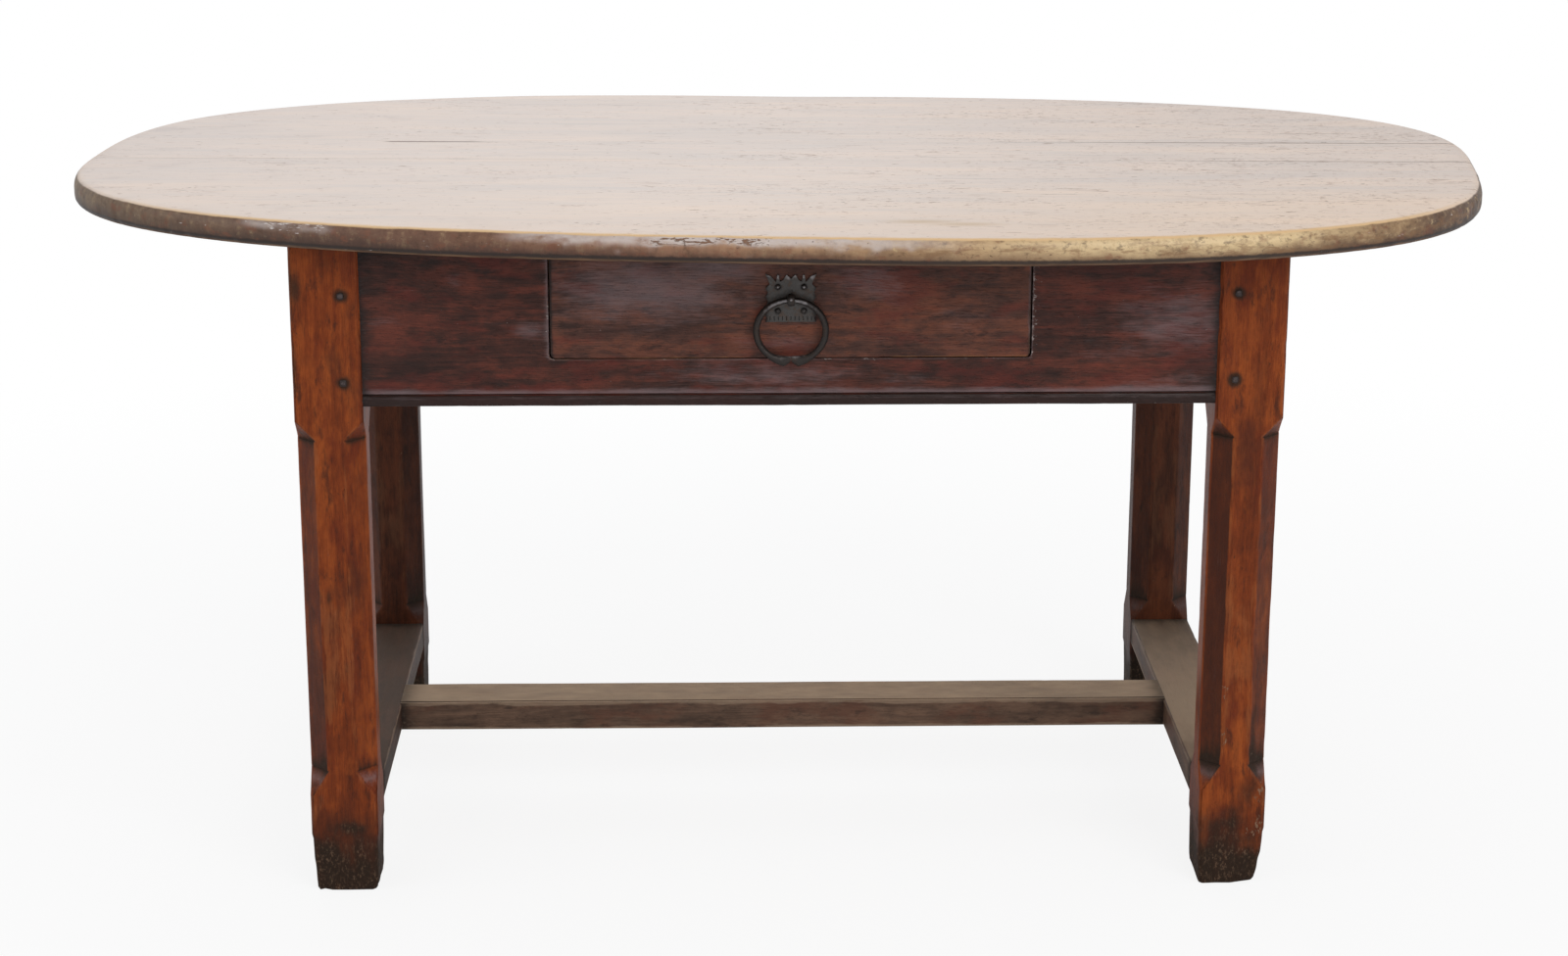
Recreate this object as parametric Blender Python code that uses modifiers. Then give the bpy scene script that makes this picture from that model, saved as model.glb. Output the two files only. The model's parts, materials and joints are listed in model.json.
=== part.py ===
"""Oval centre table with a plank top, pegged frame, one drawer and an iron ring pull.

Metres, +Z up. The table stands on z = 0 with its drawer facing -Y. Every joint is a real
one: tenons sit in mortises behind square pegs, tails sit in sockets, and the boards of the
drawer slide in grooves. Each separate piece of wood or iron is one named object.
"""

import math

import bmesh
import bpy
from mathutils import Matrix, Vector

MODEL_NAME = "oval_center_table"

# Whole table
TABLE_HEIGHT = 0.765
BASE_LENGTH = 1.058
BASE_DEPTH = 0.660
SEAT = 0.0003
OVERRUN = 0.004

# Plank top
TOP_LENGTH = 1.590
TOP_WIDTH = 0.921
TOP_THICKNESS = 0.029
TOP_EDGE_RADIUS = 0.008
TOP_OUTLINE_POWER = 2.82
TOP_OUTLINE_SEGMENTS = 160
TOP_TURN = math.radians(-1.8)

# The oval was marked out by hand, a little askew to the boards. It strays from an even one by
# these shares of its reach: the cosine and sine parts of one to four waves round it
OVAL_TURN = math.radians(-1.88)
OVAL_STRAY_SHARES = ((0.0018, 0.0006), (0.0010, 0.0030), (-0.0090, 0.0051), (0.0004, 0.0063))

FRONT_BOARD_WIDTH = 0.4485
MIDDLE_BOARD_WIDTH = 0.122
BOARD_GAP = 0.0006

# Legs
LEG_WIDTH = 0.074
LEG_CHAMFER = 0.0205
LEG_ARRIS = 0.0015
UPPER_BLOCK_BOTTOM = 0.540
UPPER_STOP_LENGTH = 0.022
LOWER_BLOCK_TOP = 0.114
LOWER_STOP_LENGTH = 0.029
FOOT_TAPER_HEIGHT = 0.068
FOOT_TAPER = 0.003
SOLE_WEAR_HEIGHT = 0.010
SOLE_WEAR = 0.003

# Aprons
APRON_DEPTH = 0.1805
APRON_THICKNESS = 0.025
APRON_RECESS = 0.003
BEAD_HEIGHT = 0.0145
BEAD_RADIUS = 0.004
QUIRK_WIDTH = 0.0025
QUIRK_DEPTH = 0.0018
TENON_THICKNESS = 0.010
TENON_LENGTH = 0.034
TENON_TOP_SHOULDER = 0.014
TENON_BOTTOM_SHOULDER = 0.010

# Pegs
PEG_WIDTH = 0.0092
PEG_LENGTH = 0.045
PEG_PROUD = 0.0010
PEG_SETBACK = 0.020
PEG_ARRIS = 0.0008
LOWER_PEG_RISE = 0.0275
UPPER_PEG_RISE = 0.1220

# Stretchers
STRETCHER_BOTTOM = 0.083
STRETCHER_THICKNESS = 0.034
STRETCHER_ARRIS = 0.002
STRETCHER_TENON_LENGTH = 0.036
STRETCHER_TENON_WIDTH = 0.040
STRETCHER_TENON_THICKNESS = 0.014
STRETCHER_PEG_LENGTH = 0.060
MIDDLE_STRETCHER_WIDTH = 0.069
MIDDLE_STRETCHER_OFFSET = -0.008
MIDDLE_TENON_LENGTH = 0.030
MIDDLE_PEG_SETBACK = 0.015
MIDDLE_PEG_LENGTH = 0.026
SCRATCH_INSET = 0.0045
SCRATCH_WIDTH = 0.0022
SCRATCH_DEPTH = 0.0016

# Drawer
DRAWER_WIDTH = 0.510
DRAWER_FRONT_THICKNESS = 0.025
RAIL_UNDER_DRAWER = 0.052
DRAWER_GAP = 0.0015
DRAWER_TOP_GAP = 0.002
DRAWER_CORNER_RADIUS = 0.005
DRAWER_STOP_GAP = 0.0005
SIDE_THICKNESS = 0.012
SIDE_DROP = 0.005
TAIL_LAP = 0.008
TAIL_HALF_WIDTH = 0.018
TAIL_SLOPE_SHARE = 0.14
TAIL_HEIGHT_SHARES = (0.25, 0.74)
GROOVE_DEPTH = 0.005
BOTTOM_THICKNESS = 0.008
BOTTOM_RISE = 0.012
BACK_THICKNESS = 0.012
BACK_INSET = 0.010
BACK_DROP = 0.006

# Drawer runners
RUNNER_WIDTH = 0.045
RUNNER_THICKNESS = 0.022
GUIDE_WIDTH = 0.022
GUIDE_RISE = 0.018
RUNNER_TENON_LENGTH = 0.008
RUNNER_TENON_WIDTH = 0.030
RUNNER_TENON_THICKNESS = 0.014
RUNNER_ARRIS = 0.001

# Glue blocks under the top
GLUE_BLOCK_LENGTH = 0.070
GLUE_BLOCK_WIDTH = 0.026
GLUE_BLOCK_FROM_LEG = 0.105
GLUE_BLOCK_CHAMFER = 0.016

# Iron pull
PLATE_WIDTH = 0.054
PLATE_HEIGHT = 0.052
PLATE_THICKNESS = 0.0025
PLATE_RISE = 0.039
CHISEL_CUTS = 11
CHISEL_ROW_WIDTH = 0.044
CHISEL_WIDTH = 0.0013
CHISEL_LENGTH = 0.0045
CHISEL_DEPTH = 0.0009
CHISEL_RISE = 0.0018
PULL_RISE = 0.0645
NAIL_SPREAD = 0.0276
NAIL_RISES = (0.0122, 0.0381)
NAIL_HEAD_RADIUS = 0.0032
NAIL_HEAD_HEIGHT = 0.0022
NAIL_SHANK_RADIUS = 0.0012
NAIL_LENGTH = 0.016
NAIL_HOLE_CLEARANCE = 0.0003
EYE_WIDTH = 0.008
EYE_STRAP = 0.0024
EYE_BORE_CLEARANCE = 0.0011
EYE_OFF_PLATE = 0.0004
EYE_SPLIT = 0.0004
EYE_CLENCH = 0.013
RING_WIDTH = 0.081
RING_HEIGHT = 0.0765
RING_BAR_RADIUS = 0.0033
RING_SIDE_RADIUS = 0.0037
RING_PADDLE_HALF_WIDTH = 0.0062
RING_PADDLE_HALF_THICKNESS = 0.0026
RING_END_GAP = 0.0008
RING_STATIONS = 56
RING_SIDES = 12
RING_PADDLE_SHARE = 0.13
RING_POINT_SHARE = 0.028

# Plate outline, right half, as shares of its half width and its height
PLATE_OUTLINE_SHARES = (
    (1.00, 0.00), (0.93, 0.07), (1.00, 0.15), (0.91, 0.23), (0.98, 0.33), (0.89, 0.42),
    (0.98, 0.53), (0.90, 0.61), (0.99, 0.71), (0.82, 0.79), (1.00, 1.00), (0.78, 0.95),
    (0.58, 0.83), (0.53, 0.98), (0.47, 0.98), (0.43, 0.84), (0.31, 0.87), (0.17, 0.985),
)
PLATE_CENTRE_DIP_SHARE = 0.90

# Worked out from the driving sizes
UNDERSIDE = TABLE_HEIGHT - TOP_THICKNESS
FRAME_TOP = UNDERSIDE - SEAT
APRON_BOTTOM = UNDERSIDE - APRON_DEPTH
LEG_X = (BASE_LENGTH - LEG_WIDTH) / 2
LEG_Y = (BASE_DEPTH - LEG_WIDTH) / 2
INSIDE_LENGTH = BASE_LENGTH - 2 * LEG_WIDTH
INSIDE_DEPTH = BASE_DEPTH - 2 * LEG_WIDTH
APRON_FACE = -BASE_DEPTH / 2 + APRON_RECESS
APRON_INSIDE = APRON_FACE + APRON_THICKNESS
TENON_BOTTOM = APRON_BOTTOM + TENON_BOTTOM_SHOULDER
TENON_TOP = UNDERSIDE - TENON_TOP_SHOULDER
STRETCHER_TOP = STRETCHER_BOTTOM + STRETCHER_THICKNESS
STRETCHER_MIDDLE = (STRETCHER_BOTTOM + STRETCHER_TOP) / 2
OPENING_HALF = DRAWER_WIDTH / 2 + DRAWER_GAP
OPENING_FLOOR = APRON_BOTTOM + RAIL_UNDER_DRAWER
DRAWER_BOTTOM = OPENING_FLOOR + DRAWER_GAP
DRAWER_TOP = UNDERSIDE - DRAWER_TOP_GAP
DRAWER_FACE = APRON_FACE
DRAWER_SHOULDER = DRAWER_FACE + DRAWER_FRONT_THICKNESS
DRAWER_END = -APRON_INSIDE - DRAWER_STOP_GAP
SIDE_TOP = DRAWER_TOP - SIDE_DROP
SIDE_INSIDE = DRAWER_WIDTH / 2 - SIDE_THICKNESS
BOTTOM_UNDERSIDE = DRAWER_BOTTOM + BOTTOM_RISE
BOTTOM_TOP = BOTTOM_UNDERSIDE + BOTTOM_THICKNESS
BACK_FACE = DRAWER_END - BACK_INSET - BACK_THICKNESS
RUNNER_TOP = DRAWER_BOTTOM - SEAT
PLATE_FACE = DRAWER_FACE - SEAT - PLATE_THICKNESS
EYE_BORE = RING_BAR_RADIUS + EYE_BORE_CLEARANCE
EYE_RADIUS = EYE_BORE + EYE_STRAP
PULL_Y = PLATE_FACE - EYE_OFF_PLATE - EYE_RADIUS
PULL_Z = DRAWER_BOTTOM + PULL_RISE

# Linear colour, roughness and metallic value of each kind of piece
SCRUBBED_TOP = ((0.62, 0.55, 0.50), 0.75, 0.0)
RED_WALNUT = ((0.16, 0.055, 0.025), 0.45, 0.0)
DARK_WALNUT = ((0.085, 0.045, 0.035), 0.45, 0.0)
GREY_WALNUT = ((0.14, 0.095, 0.07), 0.6, 0.0)
PEG_OAK = ((0.04, 0.025, 0.018), 0.6, 0.0)
INNER_PINE = ((0.30, 0.19, 0.10), 0.8, 0.0)
WROUGHT_IRON = ((0.045, 0.043, 0.04), 0.5, 0.9)

# Each side of the frame: its turn about Z and the names of its two ends
SIDES = {
    "front": (0, "left", "right"),
    "right": (1, "front", "back"),
    "back": (2, "right", "left"),
    "left": (3, "back", "front"),
}
QUARTER_TURN = math.radians(90)


def clear_scene():
    """Remove every object and start the model and tool collections."""
    for item in list(bpy.data.objects):
        bpy.data.objects.remove(item, do_unlink=True)
    for name in (MODEL_NAME, "cutting_tools"):
        collection = bpy.data.collections.new(name)
        bpy.context.scene.collection.children.link(collection)
    tools = bpy.data.collections["cutting_tools"]
    tools.hide_render = True


def finish(name, tone):
    """Make the piece's own material from one of the tones above."""
    colour, roughness, metallic = tone
    material = bpy.data.materials.new(name)
    material.use_nodes = True
    shader = material.node_tree.nodes["Principled BSDF"]
    shader.inputs["Base Color"].default_value = (*colour, 1)
    shader.inputs["Roughness"].default_value = roughness
    shader.inputs["Metallic"].default_value = metallic
    return material


def add(name, mesh, place, tone=None, parent=None, turn=None):
    """Link a mesh as a piece of the table or, without a tone, as a hidden tool."""
    item = bpy.data.objects.new(name, mesh)
    item.location = place
    if turn is not None:
        item.rotation_euler = turn
    item.parent = parent
    if tone is None:
        item.hide_render = True
        item.display_type = "WIRE"
        bpy.data.collections["cutting_tools"].objects.link(item)
    else:
        mesh.materials.append(finish(name, tone))
        bpy.data.collections[MODEL_NAME].objects.link(item)
    return item


def frame(name, place=(0, 0, 0), turn=0.0):
    """An empty that carries the pieces of one side or one moving body."""
    empty = bpy.data.objects.new(name, None)
    empty.location = place
    empty.rotation_euler = (0, 0, turn)
    bpy.data.collections[MODEL_NAME].objects.link(empty)
    return empty


def mesh_from(bm, name):
    """Close a bmesh off as a mesh whose faces look outward."""
    bmesh.ops.recalc_face_normals(bm, faces=bm.faces)
    mesh = bpy.data.meshes.new(name)
    bm.to_mesh(mesh)
    bm.free()
    return mesh


def block(name, low, high, **options):
    """A box between two corners, with its origin at its middle."""
    size = Vector(high) - Vector(low)
    bm = bmesh.new()
    bmesh.ops.create_cube(bm, size=1)
    bmesh.ops.scale(bm, vec=size, verts=bm.verts)
    return add(name, mesh_from(bm, name), (Vector(low) + Vector(high)) / 2, **options)


def prism(name, outline, low, high, axis="X", **options):
    """An outline of point pairs drawn out along one axis from low to high."""
    bm = bmesh.new()
    lift = {
        "X": lambda a, b: (low, a, b),
        "Y": lambda a, b: (a, low, b),
        "Z": lambda a, b: (a, b, low),
    }[axis]
    corners = [bm.verts.new(lift(a, b)) for a, b in outline]
    face = bm.faces.new(corners)
    drawn = bmesh.ops.extrude_face_region(bm, geom=[face])
    moved = [part for part in drawn["geom"] if isinstance(part, bmesh.types.BMVert)]
    step = Vector([high - low if letter == axis else 0 for letter in "XYZ"])
    bmesh.ops.translate(bm, vec=step, verts=moved)
    return add(name, mesh_from(bm, name), options.pop("place", (0, 0, 0)), **options)


def loft(bm, rings):
    """Skin closed rings of points one after another and cap both ends."""
    rows = [[bm.verts.new(point) for point in ring] for ring in rings]
    for row in rows:
        for start, end in zip(row, row[1:] + row[:1]):
            bm.edges.new((start, end))
    for first, second in zip(rows, rows[1:]):
        edges = [e for e in bm.edges if e.verts[0] in first and e.verts[1] in first]
        edges += [e for e in bm.edges if e.verts[0] in second and e.verts[1] in second]
        bmesh.ops.bridge_loops(bm, edges=edges)
    bm.faces.new(rows[0])
    bm.faces.new(rows[-1])


def combine(target, tool, operation="DIFFERENCE"):
    """Cut a tool from a piece, or join it on."""
    modifier = target.modifiers.new(f"{operation.lower()}_{tool.name}"[:60], "BOOLEAN")
    modifier.operation = operation
    modifier.solver = "EXACT"
    modifier.object = tool


def ease(target, width, segments=1):
    """Take the sharp arris off a piece."""
    modifier = target.modifiers.new("arris", "BEVEL")
    modifier.width = width
    modifier.segments = segments
    modifier.limit_method = "ANGLE"
    modifier.angle_limit = math.radians(40)


def arc(centre, radius, start, end, steps):
    """Points on an arc, angles in degrees."""
    points = []
    for step in range(steps + 1):
        angle = math.radians(start + (end - start) * step / steps)
        points.append((centre[0] + radius * math.cos(angle), centre[1] + radius * math.sin(angle)))
    return points


# Plank top


def oval_outline():
    """The squared, hand-sawn oval of the top, centred once it has its turn."""
    askew = Matrix.Rotation(OVAL_TURN, 3, "Z")
    points = []
    for step in range(TOP_OUTLINE_SEGMENTS):
        turn = math.tau * (step + 0.5) / TOP_OUTLINE_SEGMENTS
        reach = abs(math.cos(turn)) ** TOP_OUTLINE_POWER + abs(math.sin(turn)) ** TOP_OUTLINE_POWER
        stray = sum(
            even * math.cos(waves * turn) + odd * math.sin(waves * turn)
            for waves, (even, odd) in enumerate(OVAL_STRAY_SHARES, 1)
        )
        scale = reach ** (-1 / TOP_OUTLINE_POWER) * (1 + stray)
        x = TOP_LENGTH / 2 * math.cos(turn) * scale
        y = TOP_WIDTH / 2 * math.sin(turn) * scale
        points.append(askew @ Vector((x, y, 0)))
    placed = Matrix.Rotation(TOP_TURN, 3, "Z")
    turned = [placed @ point for point in points]
    lowest = Vector((min(point.x for point in turned), min(point.y for point in turned), 0))
    highest = Vector((max(point.x for point in turned), max(point.y for point in turned), 0))
    middle = placed.inverted() @ ((lowest + highest) / 2)
    return [(point.x - middle.x, point.y - middle.y) for point in points]


def soften_rim(board):
    """Mark the two rims of a top board and round them."""
    bm = bmesh.new()
    bm.from_mesh(board.data)
    weight = bm.edges.layers.float.new("bevel_weight_edge")
    for edge in bm.edges:
        start, end = (vert.co.z for vert in edge.verts)
        if abs(start - end) < SEAT:
            edge[weight] = 1
    bm.to_mesh(board.data)
    bm.free()
    rounding = board.modifiers.new("rim", "BEVEL")
    rounding.limit_method = "WEIGHT"
    rounding.width = TOP_EDGE_RADIUS
    rounding.segments = 3


def build_top():
    """Saw the three boards of the top out of one rounded oval."""
    top = frame("top_frame", (0, 0, UNDERSIDE), TOP_TURN)
    outline = oval_outline()
    left, right = (limit(x for x, _ in outline) for limit in (min, max))
    front, back = (limit(y for _, y in outline) for limit in (min, max))
    front_joint = -TOP_WIDTH / 2 + FRONT_BOARD_WIDTH
    back_joint = front_joint + MIDDLE_BOARD_WIDTH
    spans = {
        "top_board_front": (front - OVERRUN, front_joint - BOARD_GAP / 2),
        "top_board_middle": (front_joint + BOARD_GAP / 2, back_joint - BOARD_GAP / 2),
        "top_board_back": (back_joint + BOARD_GAP / 2, back + OVERRUN),
    }
    for name, (near, far) in spans.items():
        board = prism(name, outline, 0, TOP_THICKNESS, "Z", tone=SCRUBBED_TOP, parent=top)
        soften_rim(board)
        saw = block(
            f"{name}_saw",
            (left - OVERRUN, near, -OVERRUN),
            (right + OVERRUN, far, TOP_THICKNESS + OVERRUN),
            parent=top,
        )
        combine(board, saw, "INTERSECT")


# Legs


def leg_section(height, inset, chamfer):
    """One level of a leg: a square with its corners cut off."""
    half = LEG_WIDTH / 2 - inset
    short = half - chamfer
    flat = [
        (half, -short), (half, short), (short, half), (-short, half),
        (-half, short), (-half, -short), (-short, -half), (short, -half),
    ]
    return [(x, y, height) for x, y in flat]


def build_legs():
    """Four legs with stopped chamfers between an upper and a lower block."""
    levels = [
        (0, FOOT_TAPER + SOLE_WEAR, LEG_ARRIS + SOLE_WEAR),
        (SOLE_WEAR_HEIGHT, FOOT_TAPER, LEG_ARRIS),
        (FOOT_TAPER_HEIGHT, 0, LEG_ARRIS),
        (LOWER_BLOCK_TOP, 0, LEG_ARRIS),
        (LOWER_BLOCK_TOP + LOWER_STOP_LENGTH, 0, LEG_CHAMFER),
        (UPPER_BLOCK_BOTTOM - UPPER_STOP_LENGTH, 0, LEG_CHAMFER),
        (UPPER_BLOCK_BOTTOM, 0, LEG_ARRIS),
        (FRAME_TOP, 0, LEG_ARRIS),
    ]
    legs = {}
    for depth_name, y in (("front", -LEG_Y), ("back", LEG_Y)):
        for width_name, x in (("left", -LEG_X), ("right", LEG_X)):
            name = f"leg_{depth_name}_{width_name}"
            bm = bmesh.new()
            loft(bm, [leg_section(*level) for level in levels])
            leg = add(name, mesh_from(bm, name), (x, y, 0), tone=RED_WALNUT)
            legs[frozenset((depth_name, width_name))] = leg
    return legs


def peg(name, place, turn, length, parent, holed, tone=PEG_OAK):
    """A square peg along its own Z, head up, and the hole it fills in each piece."""
    half = PEG_WIDTH / 2
    item = block(name, (-half, -half, -length), (half, half, 0), tone=tone, parent=parent)
    ease(item, PEG_ARRIS)
    hole_half = half + SEAT
    tool = block(
        f"{name}_hole",
        (-hole_half, -hole_half, -length - SEAT),
        (hole_half, hole_half, OVERRUN),
        parent=parent,
    )
    matrix = Matrix.Translation(Vector(place)) @ turn.to_4x4()
    for part in (item, tool):
        part.matrix_local = matrix @ Matrix.Translation(part.location)
    for target in holed:
        combine(target, tool)


# Aprons


def apron_profile():
    """Section of an apron: flat board with a quirked bead along its lower edge."""
    face = APRON_FACE
    quirk_low = APRON_BOTTOM + BEAD_HEIGHT - QUIRK_WIDTH
    quirk_high = APRON_BOTTOM + BEAD_HEIGHT
    lower = arc((face + BEAD_RADIUS, APRON_BOTTOM + BEAD_RADIUS), BEAD_RADIUS, 270, 180, 4)
    upper = arc((face + BEAD_RADIUS, quirk_low - BEAD_RADIUS / 2), BEAD_RADIUS, 180, 150, 2)
    return (
        [(APRON_INSIDE, APRON_BOTTOM)]
        + lower
        + upper
        + [
            (face + QUIRK_DEPTH, quirk_low + QUIRK_WIDTH / 2),
            (face, quirk_high),
            (face, FRAME_TOP),
            (APRON_INSIDE, FRAME_TOP),
        ]
    )


HEAD_OUT = Matrix.Rotation(QUARTER_TURN, 3, "X")
HEAD_DOWN = Matrix.Rotation(2 * QUARTER_TURN, 3, "X")


def tenon_joint(name, rail, post, carrier, sign, shoulder, length, cheeks, edges):
    """Join a tenon on to one end of a rail and cut its mortise in the post.

    The rail runs along the carrier's X. The post's face lies at the shoulder distance from
    the middle; cheeks and edges are the tenon's limits across Y and Z.
    """
    root = sign * (shoulder - SEAT - OVERRUN)
    tip = sign * (shoulder + length)
    tenon = block(
        f"{name}_tenon",
        (min(root, tip), cheeks[0], edges[0]),
        (max(root, tip), cheeks[1], edges[1]),
        parent=carrier,
    )
    combine(rail, tenon, "UNION")
    mouth = sign * (shoulder - OVERRUN)
    floor = sign * (shoulder + length + SEAT)
    mortise = block(
        f"{name}_mortise",
        (min(mouth, floor), cheeks[0] - SEAT, edges[0] - SEAT),
        (max(mouth, floor), cheeks[1] + SEAT, edges[1] + SEAT),
        parent=carrier,
    )
    combine(post, mortise)


def side_frame(side):
    """The empty that carries one side, whose outward direction is its own -Y."""
    turns = SIDES[side][0]
    turn = turns * QUARTER_TURN
    out = 0 if turns % 2 == 0 else (BASE_DEPTH - BASE_LENGTH) / 2
    return frame(f"{side}_side", Matrix.Rotation(turn, 3, "Z") @ Vector((0, out, 0)), turn)


def build_apron(side, legs):
    """One apron with its two tenons, the mortises they enter and four pegs."""
    turns, *ends = SIDES[side]
    inside = INSIDE_LENGTH if turns % 2 == 0 else INSIDE_DEPTH
    carrier = side_frame(side)
    reach = inside / 2 - SEAT
    apron = prism(f"{side}_apron", apron_profile(), -reach, reach, "X",
                  tone=DARK_WALNUT, parent=carrier)
    middle = (APRON_FACE + APRON_INSIDE) / 2
    cheeks = (middle - TENON_THICKNESS / 2, middle + TENON_THICKNESS / 2)
    for sign, end in zip((-1, 1), ends):
        leg = legs[frozenset((side, end))]
        tenon_joint(f"{side}_apron_{end}", apron, leg, carrier, sign, inside / 2,
                    TENON_LENGTH, cheeks, (TENON_BOTTOM, TENON_TOP))
        for level, rise in (("lower", LOWER_PEG_RISE), ("upper", UPPER_PEG_RISE)):
            place = (
                sign * (inside / 2 + PEG_SETBACK),
                -BASE_DEPTH / 2 - PEG_PROUD,
                APRON_BOTTOM + rise,
            )
            peg(f"peg_{side}_{end}_{level}", place, HEAD_OUT, PEG_LENGTH, carrier, (leg, apron))
    return apron, carrier


def cut_drawer_opening(apron):
    """Saw the opening for the drawer down from the apron's upper edge."""
    tool = block(
        "drawer_opening",
        (-OPENING_HALF, APRON_FACE - OVERRUN, OPENING_FLOOR),
        (OPENING_HALF, APRON_INSIDE + OVERRUN, FRAME_TOP + OVERRUN),
    )
    combine(apron, tool)


def build_glue_block(name, along, carrier):
    """A triangular block rubbed into the corner between an apron and the top."""
    low = along - GLUE_BLOCK_LENGTH / 2
    high = along + GLUE_BLOCK_LENGTH / 2
    near = APRON_INSIDE + SEAT
    far = near + GLUE_BLOCK_WIDTH
    foot = FRAME_TOP - GLUE_BLOCK_WIDTH
    outline = [
        (near, foot), (near, FRAME_TOP), (far, FRAME_TOP),
        (far, FRAME_TOP - GLUE_BLOCK_WIDTH + GLUE_BLOCK_CHAMFER),
        (far - GLUE_BLOCK_CHAMFER, foot),
    ]
    prism(name, outline, low, high, "X", tone=INNER_PINE, parent=carrier)


def build_frame(legs):
    """Four aprons, the blocks that hold the top to them, and the drawer's opening."""
    aprons = {}
    corner = INSIDE_LENGTH / 2 - GLUE_BLOCK_FROM_LEG
    joint = -TOP_WIDTH / 2 + FRONT_BOARD_WIDTH + MIDDLE_BOARD_WIDTH / 2
    for side, (turns, first, second) in SIDES.items():
        apron, carrier = build_apron(side, legs)
        aprons[side] = apron
        if turns % 2 == 0:
            build_glue_block(f"glue_block_{side}_{first}", -corner, carrier)
            build_glue_block(f"glue_block_{side}_{second}", corner, carrier)
        else:
            build_glue_block(f"glue_block_{side}", joint if first == "front" else -joint, carrier)
    cut_drawer_opening(aprons["front"])
    return aprons


# Stretchers


def bar_outline(low, high, arris):
    """A rectangle with its four arrises taken off, in the carrier's Y and Z."""
    (y0, z0), (y1, z1) = low, high
    return [
        (y0 + arris, z0), (y1 - arris, z0), (y1, z0 + arris), (y1, z1 - arris),
        (y1 - arris, z1), (y0 + arris, z1), (y0, z1 - arris), (y0, z0 + arris),
    ]


def build_side_stretcher(side, legs):
    """A flat stretcher as wide as the legs, tenoned between two lower blocks."""
    _, *ends = SIDES[side]
    carrier = bpy.data.objects[f"{side}_side"]
    outer = -BASE_DEPTH / 2
    outline = bar_outline(
        (outer, STRETCHER_BOTTOM), (outer + LEG_WIDTH, STRETCHER_TOP), STRETCHER_ARRIS
    )
    shoulder = INSIDE_DEPTH / 2
    stretcher = prism(f"{side}_stretcher", outline, -shoulder + SEAT, shoulder - SEAT, "X",
                      tone=GREY_WALNUT, parent=carrier)
    middle = outer + LEG_WIDTH / 2
    half_width = STRETCHER_TENON_WIDTH / 2
    half_thick = STRETCHER_TENON_THICKNESS / 2
    for sign, end in zip((-1, 1), ends):
        leg = legs[frozenset((side, end))]
        tenon_joint(
            f"{side}_stretcher_{end}", stretcher, leg, carrier, sign, shoulder,
            STRETCHER_TENON_LENGTH, (middle - half_width, middle + half_width),
            (STRETCHER_MIDDLE - half_thick, STRETCHER_MIDDLE + half_thick),
        )
        place = (sign * (shoulder + PEG_SETBACK), outer - PEG_PROUD, STRETCHER_MIDDLE)
        peg(f"peg_{side}_{end}_stretcher", place, HEAD_OUT, STRETCHER_PEG_LENGTH, carrier,
            (leg, stretcher))
    return stretcher


def build_middle_stretcher(stretchers):
    """The long stretcher, scratched with a bead and pegged from below at both ends."""
    carrier = frame("middle_line", (0, MIDDLE_STRETCHER_OFFSET, 0))
    half = MIDDLE_STRETCHER_WIDTH / 2
    outline = bar_outline((-half, STRETCHER_BOTTOM), (half, STRETCHER_TOP), STRETCHER_ARRIS)
    shoulder = INSIDE_LENGTH / 2
    stretcher = prism("middle_stretcher", outline, -shoulder + SEAT, shoulder - SEAT, "X",
                      tone=GREY_WALNUT, parent=carrier)
    groove = -half + SCRATCH_INSET
    notch = [
        (groove - SCRATCH_WIDTH / 2, STRETCHER_TOP + SEAT),
        (groove, STRETCHER_TOP - SCRATCH_DEPTH),
        (groove + SCRATCH_WIDTH / 2, STRETCHER_TOP + SEAT),
    ]
    scratch = prism("scratch_stock", notch, -shoulder - OVERRUN, shoulder + OVERRUN, "X",
                    parent=carrier)
    combine(stretcher, scratch)
    half_width = STRETCHER_TENON_WIDTH / 2
    half_thick = STRETCHER_TENON_THICKNESS / 2
    for sign, side in ((-1, "left"), (1, "right")):
        post = stretchers[side]
        tenon_joint(
            f"middle_stretcher_{side}", stretcher, post, carrier, sign, shoulder,
            MIDDLE_TENON_LENGTH, (-half_width, half_width),
            (STRETCHER_MIDDLE - half_thick, STRETCHER_MIDDLE + half_thick),
        )
        place = (sign * (shoulder + MIDDLE_PEG_SETBACK), 0, STRETCHER_BOTTOM - PEG_PROUD)
        peg(f"peg_middle_{side}", place, HEAD_DOWN, MIDDLE_PEG_LENGTH, carrier,
            (post, stretcher))


# Drawer runners


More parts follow.
